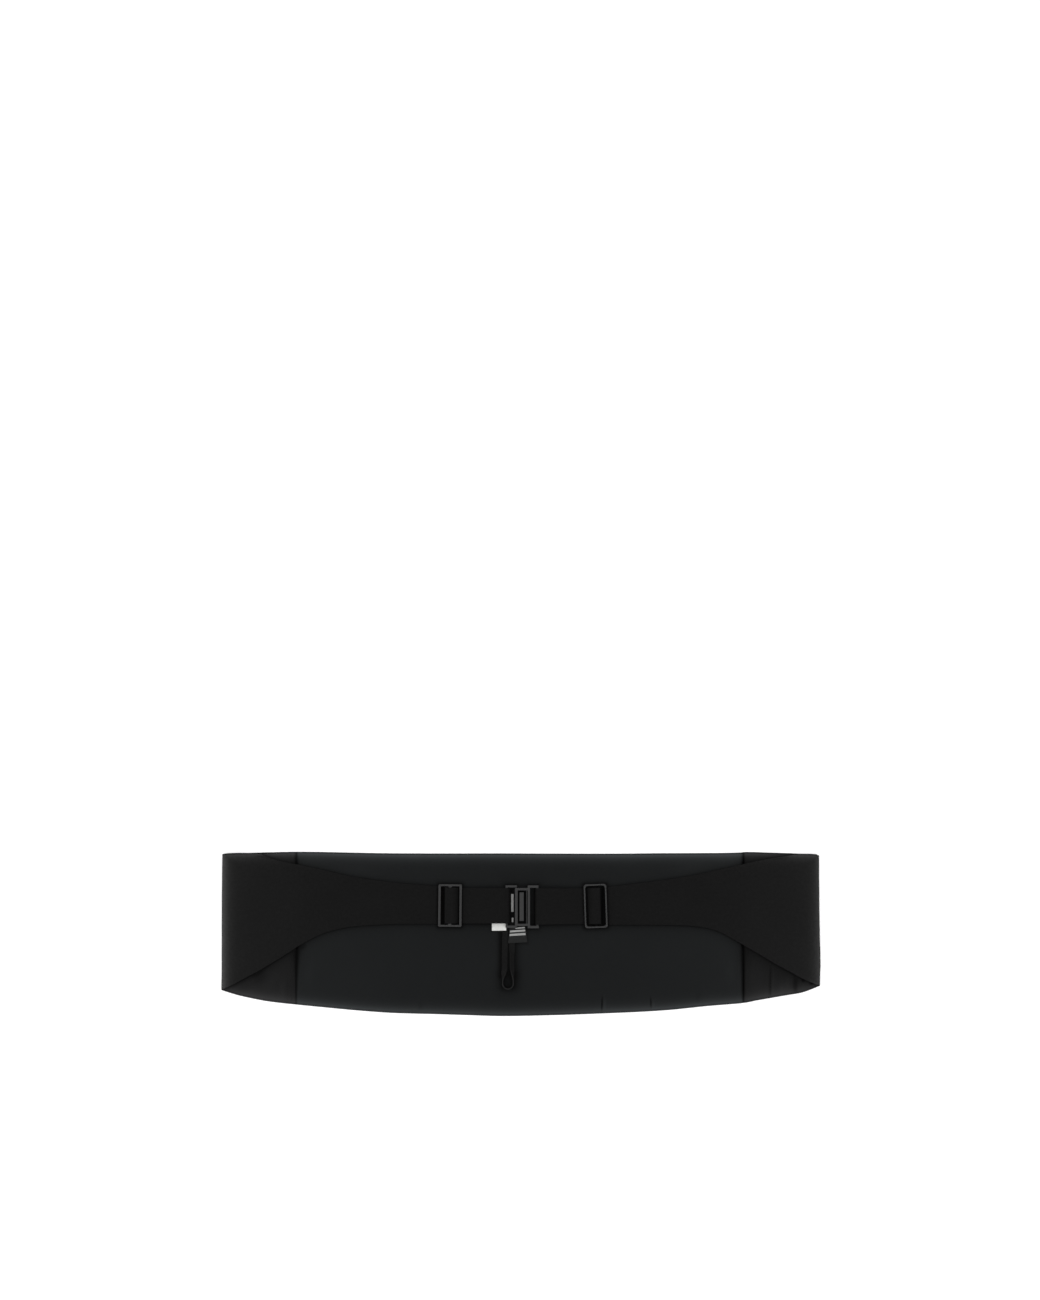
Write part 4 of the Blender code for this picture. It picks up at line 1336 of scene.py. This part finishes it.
def make_labels():
    """The labels: one flat under the clasp, and two that rest on the loop's legs beside them."""
    on_loop = LOOP_THICKNESS + 0.15
    outer_leg = LOOP_LEGS_X - LOOP_LEG_HALF - LOOP_TAPE / 2
    inner_leg = LOOP_LEGS_X + LOOP_LEG_HALF + LOOP_TAPE / 2
    # The label under the clasp takes a darker, less glossy copy of the label black: painted shade.
    under_clasp = make_label(
        "woven_label_under_clasp", (-8.3, 5.9), (4.2, 5.9), (-8.3, 31.4), (4.2, 31.4),
        lambda x: 0 * x, 0.5, 0.0,
        make_label_finish("woven label", SHADED_LABEL_BLACK, UNDER_LABEL_BARS, 0.04),
    )
    place(under_clasp, "brand_label", "label_weave")
    care = make_label(
        "woven_care_tab", (-9.2, -7.0), (4.7, -6.25), (-7.9, 4.3), (3.3, 5.2),
        lambda x: on_loop * (1 - ease((x - inner_leg) / 7.0)), 0.45, 0.25,
        make_label_finish("woven care tab", LABEL_BLACK, CARE_TAB_BARS),
    )
    place(care, "care_label", "label_weave")
    tag = make_label(
        "woven_size_tab", (-20.8, 2.05), (-10.5, 2.2), (-20.8, 7.6), (-10.5, 7.6),
        lambda x: on_loop * ease((x - outer_leg + 6.0) / 6.0), 0.45, 0.2,
        make_label_finish("white woven tab", TAG_WHITE),
    )
    return place(tag, "size_tag", "tag_weave")


# Slides and clasp.


def corner_path(half_x, half_y, radius, arc_points, run_points):
    """A rounded rectangle about the origin, as points."""
    centres = np.array(
        [
            (half_x - radius, half_y - radius),
            (radius - half_x, half_y - radius),
            (radius - half_x, radius - half_y),
            (half_x - radius, radius - half_y),
        ]
    )
    angle = np.radians(np.linspace(0, 90, arc_points))
    between = np.arange(1, run_points)[:, None] / run_points
    points = []
    for number, centre in enumerate(centres):
        turned = angle + number * math.pi / 2
        ways = as_points(np.cos(turned), np.sin(turned))
        arc = centre + radius * ways
        after = centres[(number + 1) % 4] + radius * ways[-1]
        points += [arc, arc[-1] + (after - arc[-1]) * between]
    return np.vstack(points)


def bar_section(corner, run_points):
    """A rounded bar's section, as across and up, each from -1 to 1."""
    return corner_path(1.0, 1.0, corner, 5, run_points).T


def add_frame(name, half, radii, side_bar, end_bar, low, high, finish):
    """A frame: a bar's section carried between an outer and an inner rounded rectangle."""
    outside = corner_path(half[0], half[1], radii[0], 9, 16)
    inside = corner_path(half[0] - side_bar, half[1] - end_bar, radii[1], 9, 16)
    across, up = bar_section(0.5, 14)
    inwards = (1 - across[None, :]) / 2
    x = outside[:, :1] + (inside[:, :1] - outside[:, :1]) * inwards
    y = outside[:, 1:] + (inside[:, 1:] - outside[:, 1:]) * inwards
    z = (low + high) / 2 + up[None, :] * (high - low) / 2
    rows, columns = x.shape
    return add_mesh(name, as_points(x, y, z), grid_quads(rows, columns, closed_rows=True), finish)


def add_bar(name, low, high, finish, radius):
    """A box whose edges along X are rounded, and whose two faces across X are dished in.

    There the wall turns back into the box by the radius, and its section shrinks in a quarter circle.
    """
    low = np.array(low)
    high = np.array(high)
    middle = (low + high) / 2
    radius = min(radius, (high - low).min() / 2.01)
    angle = np.radians(np.linspace(0, 90, 5))
    end = radius * (1 - np.sin(angle))
    dish = radius * (1 - np.cos(angle))
    x = np.concatenate([low[0] + dish[::-1], high[0] - dish])
    half = (high - low) / 2
    rings = []
    for station, less in zip(x, np.concatenate([end, end[::-1]])):
        path = corner_path(half[1] - less, half[2] - less, max(radius - less, 0.04), 5, 3)
        rings.append(as_points(station, path[:, 0] + middle[1], path[:, 1] + middle[2]))
    return add_wall(name, np.array(rings), finish)


def unite(pieces):
    """One closed piece from overlapping ones, which are then removed."""
    whole = pieces[0]
    for piece in pieces[1:]:
        union = whole.modifiers.new(piece.name, "BOOLEAN")
        union.operation = "UNION"
        union.solver = "EXACT"
        union.material_mode = "TRANSFER"
        union.object = piece
    bpy.context.view_layer.update()
    seen = whole.evaluated_get(bpy.context.evaluated_depsgraph_get())
    mesh = bpy.data.meshes.new_from_object(seen)
    whole.modifiers.clear()
    whole.data = mesh
    for piece in pieces[1:]:
        bpy.data.objects.remove(piece, do_unlink=True)
    mesh.shade_smooth()
    mesh.set_sharp_from_angle(angle=math.radians(38))
    return whole


def turn_about(obj, centre, degrees):
    """Turns a mesh about an upright line through centre."""
    count = len(obj.data.vertices)
    points = np.empty(count * 3)
    obj.data.vertices.foreach_get("co", points)
    points = points.reshape(-1, 3)
    cos = math.cos(math.radians(degrees))
    sin = math.sin(math.radians(degrees))
    x = points[:, 0] * cos - points[:, 1] * sin + centre[0]
    y = points[:, 0] * sin + points[:, 1] * cos + centre[1]
    obj.data.vertices.foreach_set("co", np.column_stack([x, y, points[:, 2]]).ravel())
    obj.data.update()


def make_slide(name, node, lies, half, radii, bars, finish, middle_finish):
    """A slide: a frame with a middle bar that flares at its two roots. lies is x, y and turn.

    half is half its width and height, radii those of its outer and inner corners, and bars the
    widths of its side bars and end bars.
    """
    side_bar, end_bar = bars
    low, high = [np.array(corner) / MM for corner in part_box(node)]
    frame_piece = add_frame(name, half, radii, side_bar, end_bar, low[2], high[2], finish)
    along = np.linspace(-1, 1, 41)[:, None] * (half[1] - 0.5)
    across, up = bar_section(0.6, 4)
    to_root = half[1] - end_bar - np.abs(along)
    wide = MIDDLE_BAR_HALF + MIDDLE_BAR_FLARE * np.exp(-np.clip(to_root, 0, None) / MIDDLE_BAR_FLARE_REACH)
    x = across[None, :] * wide
    thick = high[2] - low[2] - 2 * MIDDLE_BAR_INSET
    z = low[2] + MIDDLE_BAR_INSET + (up[None, :] + 1) / 2 * thick
    middle_bar = add_wall(name + "_middle", as_points(x, along, z), middle_finish)
    whole = unite([frame_piece, middle_bar])
    turn_about(whole, (lies[0] * MM, lies[1] * MM), lies[2])
    return place(whole, node, "slide_plastic")


def make_slides():
    """Left: flat and square. Right: thinner and rounder, with its middle bar in a darker, matt copy of the
    grey: painted shade.
    """
    flat_grey = make_hard_finish("left slide", HARD_GREY, 0.34)
    soft_grey = make_hard_finish("right slide", HARD_GREY, 0.28)
    dark = make_hard_finish("right slide bar", SHADED_HARD_GREY, 0.9, 0.05)
    left = (LEFT_SLIDE, (8.45, 15.3), (0.9, 0.3), (1.75, 1.45), flat_grey, flat_grey)
    right = (RIGHT_SLIDE, (8.2, 15.8), (1.9, 1.9), (1.2, 1.2), soft_grey, dark)
    make_slide("slide_left_frame", "slide_left", *left)
    make_slide("slide_right_frame", "slide_right", *right)


def make_clasp():
    """The two halves of the clasp, as bars made into one piece each.

    A row is a bar's name, low corner, high corner, finish and radius.
    """
    finish = make_hard_finish("clasp", HARD_GREY, 0.38)
    # Painted shade: the front bar and neck take a darker, matt copy of the grey, as they lie in shadow.
    shaded_clasp_finish = make_hard_finish("clasp in painted shade", SHADED_HARD_GREY, 0.9, 0.05)
    y = CLASP_Y
    arm = CLASP_ARM
    end = HOOK_END
    (_, low, floor), (_, high, roof) = [np.array(corner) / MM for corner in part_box("clasp_hook")]
    hook = (
        ("clasp_hook_half", (end + 0.6, low, floor), (-2.8, low + arm, BAR_TOP), finish, 0.4),
        ("hook_upper_arm", (end, high - 1.95, floor), (-2.8, high - 0.25, BAR_TOP), finish, 0.4),
        ("hook_strap_bar", (end + 0.02, low + 0.3, BAR_LOW), (end + 1.45, high - 0.3, BAR_TOP), finish, 0.5),
        ("hook_front_bar", (-4.1, low + 0.2, floor), (-2.7, high - 0.2, floor + BAR), shaded_clasp_finish, 0.3),
        ("hook_neck", (-4.0, y - 4.0, floor + 0.05), (1.6, y + 4.0, floor + 0.6), shaded_clasp_finish, 0.2),
        ("hook_tongue", (-0.9, 9.0, floor + 0.02), (2.1, 29.7, roof), finish, 0.5),
    )
    place(unite([add_bar(*row) for row in hook]), "clasp_hook", "clasp_plastic")
    end = EYE_END
    low = EYE_BOTTOM
    high = EYE_TOP
    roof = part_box("clasp_eye")[1][2] / MM
    deck = roof - BAR
    eye = (
        ("clasp_eye_half", (4.97, low, BAR_LOW), (6.6, high, roof), finish, 0.35),
        ("eye_upper_arm", (5.1, high - arm, BAR_LOW + 0.03), (end, high, BAR_TOP), finish, 0.4),
        ("eye_lower_arm", (5.1, low, BAR_LOW + 0.03), (end + 0.3, low + arm, BAR_TOP), finish, 0.4),
        ("eye_strap_bar", (end - 1.5, low + 0.3, BAR_LOW), (end - 0.05, high - 0.3, BAR_TOP), finish, 0.5),
        ("eye_left_bar", (-4.2, 5.4, deck), (-2.25, 32.8, roof), finish, 0.35),
        ("eye_top_bar", (-4.15, 31.0, deck + 0.02), (5.9, 32.75, roof - 0.02), finish, 0.35),
        ("eye_bottom_bar", (-4.15, 5.45, deck + 0.02), (5.9, 7.1, roof - 0.02), finish, 0.35),
        ("eye_ledge", (4.0, 6.0, deck + 0.05), (4.42, 32.0, deck + 0.75), finish, 0.2),
    )
    place(unite([add_bar(*row) for row in eye]), "clasp_eye", "clasp_plastic")


# Stage, light and camera.

PHOTO_HEIGHT = 936.0  # what the camera takes in from the frame's top to its bottom
LENS = 100.0
SENSOR = 36.0
DOWN_IN_FRAME = 283.6 / 1300  # the garment lies below the middle of the picture
RIGHT_IN_FRAME = 0.8 / 1300
SKY = ((0.0, 1.0), (0.28, 1.0), (0.45, 0.35), (0.7, 0.4), (1.0, 1.0))  # height of the direction, brightness
SOFTBOXES = (("left", 270, 7.0), ("right", 90, 6.5), ("near", 0, 5.0), ("far", 180, 5.0))  # azimuth, power
SOFTBOX_ELEVATION = 58
SOFTBOX_DISTANCE = 1.8
SOFTBOX_SIZE = 0.9
TABLE_GLOW = 0.25  # the table is lit from within, so hardly a shadow shows on it


def make_stage():
    """A plain pale table top."""
    mesh = bpy.data.meshes.new("table_top")
    reach = 20.0
    low = -0.0004
    corners = [(-reach, -reach, low), (reach, -reach, low), (reach, reach, low), (-reach, reach, low)]
    mesh.from_pydata(corners, [], [(0, 1, 2, 3)])
    table = bpy.data.objects.new("table_top", mesh)
    bpy.context.scene.collection.objects.link(table)
    material, tree, shader = start_material("pale table", Roughness=0.9, Specular_IOR_Level=0.1)
    patches = use_group(tree, MOTTLE, Place=solid_place(tree), Size=0.4, Amount=0.004)
    feed(tree, shader.inputs["Base Color"], tint(tree, (0.92, 0.92, 0.92), patches.outputs["Shade"]))
    shader.inputs["Emission Color"].default_value = (1.0, 1.0, 1.0, 1.0)
    shader.inputs["Emission Strength"].default_value = TABLE_GLOW
    mesh.materials.append(material)


def add_softbox(name, azimuth, power):
    """A large square light that faces the garment, azimuth 0 at the bottom of the picture."""
    turn = math.radians(azimuth)
    tilt = math.radians(SOFTBOX_ELEVATION)
    light = bpy.data.lights.new(name, "AREA")
    light.shape = "SQUARE"
    light.size = SOFTBOX_SIZE
    light.energy = power
    obj = bpy.data.objects.new(name, light)
    obj.location = (
        SOFTBOX_DISTANCE * math.cos(tilt) * math.sin(turn),
        -SOFTBOX_DISTANCE * math.cos(tilt) * math.cos(turn),
        SOFTBOX_DISTANCE * math.sin(tilt),
    )
    obj.rotation_euler = (math.pi / 2 - tilt, 0.0, turn)
    obj.visible_camera = False
    bpy.context.scene.collection.objects.link(obj)


def make_light():
    """White surroundings, darker at middle height, and softboxes high on the four sides."""
    world = bpy.data.worlds.new("white surroundings")
    world.use_nodes = True
    tree = world.node_tree
    background = tree.nodes["Background"]
    direction = add_node(tree, "ShaderNodeTexCoord").outputs["Generated"]
    fade = add_node(tree, "ShaderNodeValToRGB")
    feed(tree, fade.inputs["Fac"], axes_of(tree, direction)["Z"])
    ramp = fade.color_ramp
    ramp.interpolation = "EASE"
    ramp.elements[0].position = SKY[0][0]
    ramp.elements[-1].position = SKY[-1][0]
    for position, _ in SKY[1:-1]:
        ramp.elements.new(position)
    for element, (_, strength) in zip(ramp.elements, SKY):
        element.color = (strength, strength, strength, 1.0)
    feed(tree, background.inputs["Color"], fade.outputs["Color"])
    bpy.context.scene.world = world
    for name, azimuth, power in SOFTBOXES:
        add_softbox(name + " softbox", azimuth, power)


def make_camera():
    """Straight down on the garment, with the frame shifted so that it lies low in the picture."""
    camera = bpy.data.cameras.new("camera")
    camera.lens = LENS
    camera.sensor_width = SENSOR
    camera.shift_x = -RIGHT_IN_FRAME
    camera.shift_y = DOWN_IN_FRAME
    obj = bpy.data.objects.new("camera", camera)
    distance = PHOTO_HEIGHT * MM * LENS / SENSOR
    obj.location = (0.0, 0.0, distance + PANEL_TOP * MM)
    bpy.context.scene.collection.objects.link(obj)
    bpy.context.scene.camera = obj


def main():
    bpy.context.scene.view_settings.view_transform = "Standard"
    make_stage()
    make_light()
    make_camera()
    outer, lining, flat, area = make_panel()
    make_wings()
    make_seam_stitches()
    loop = make_loop()
    size_tab = make_labels()
    make_slides()
    make_clasp()


main()
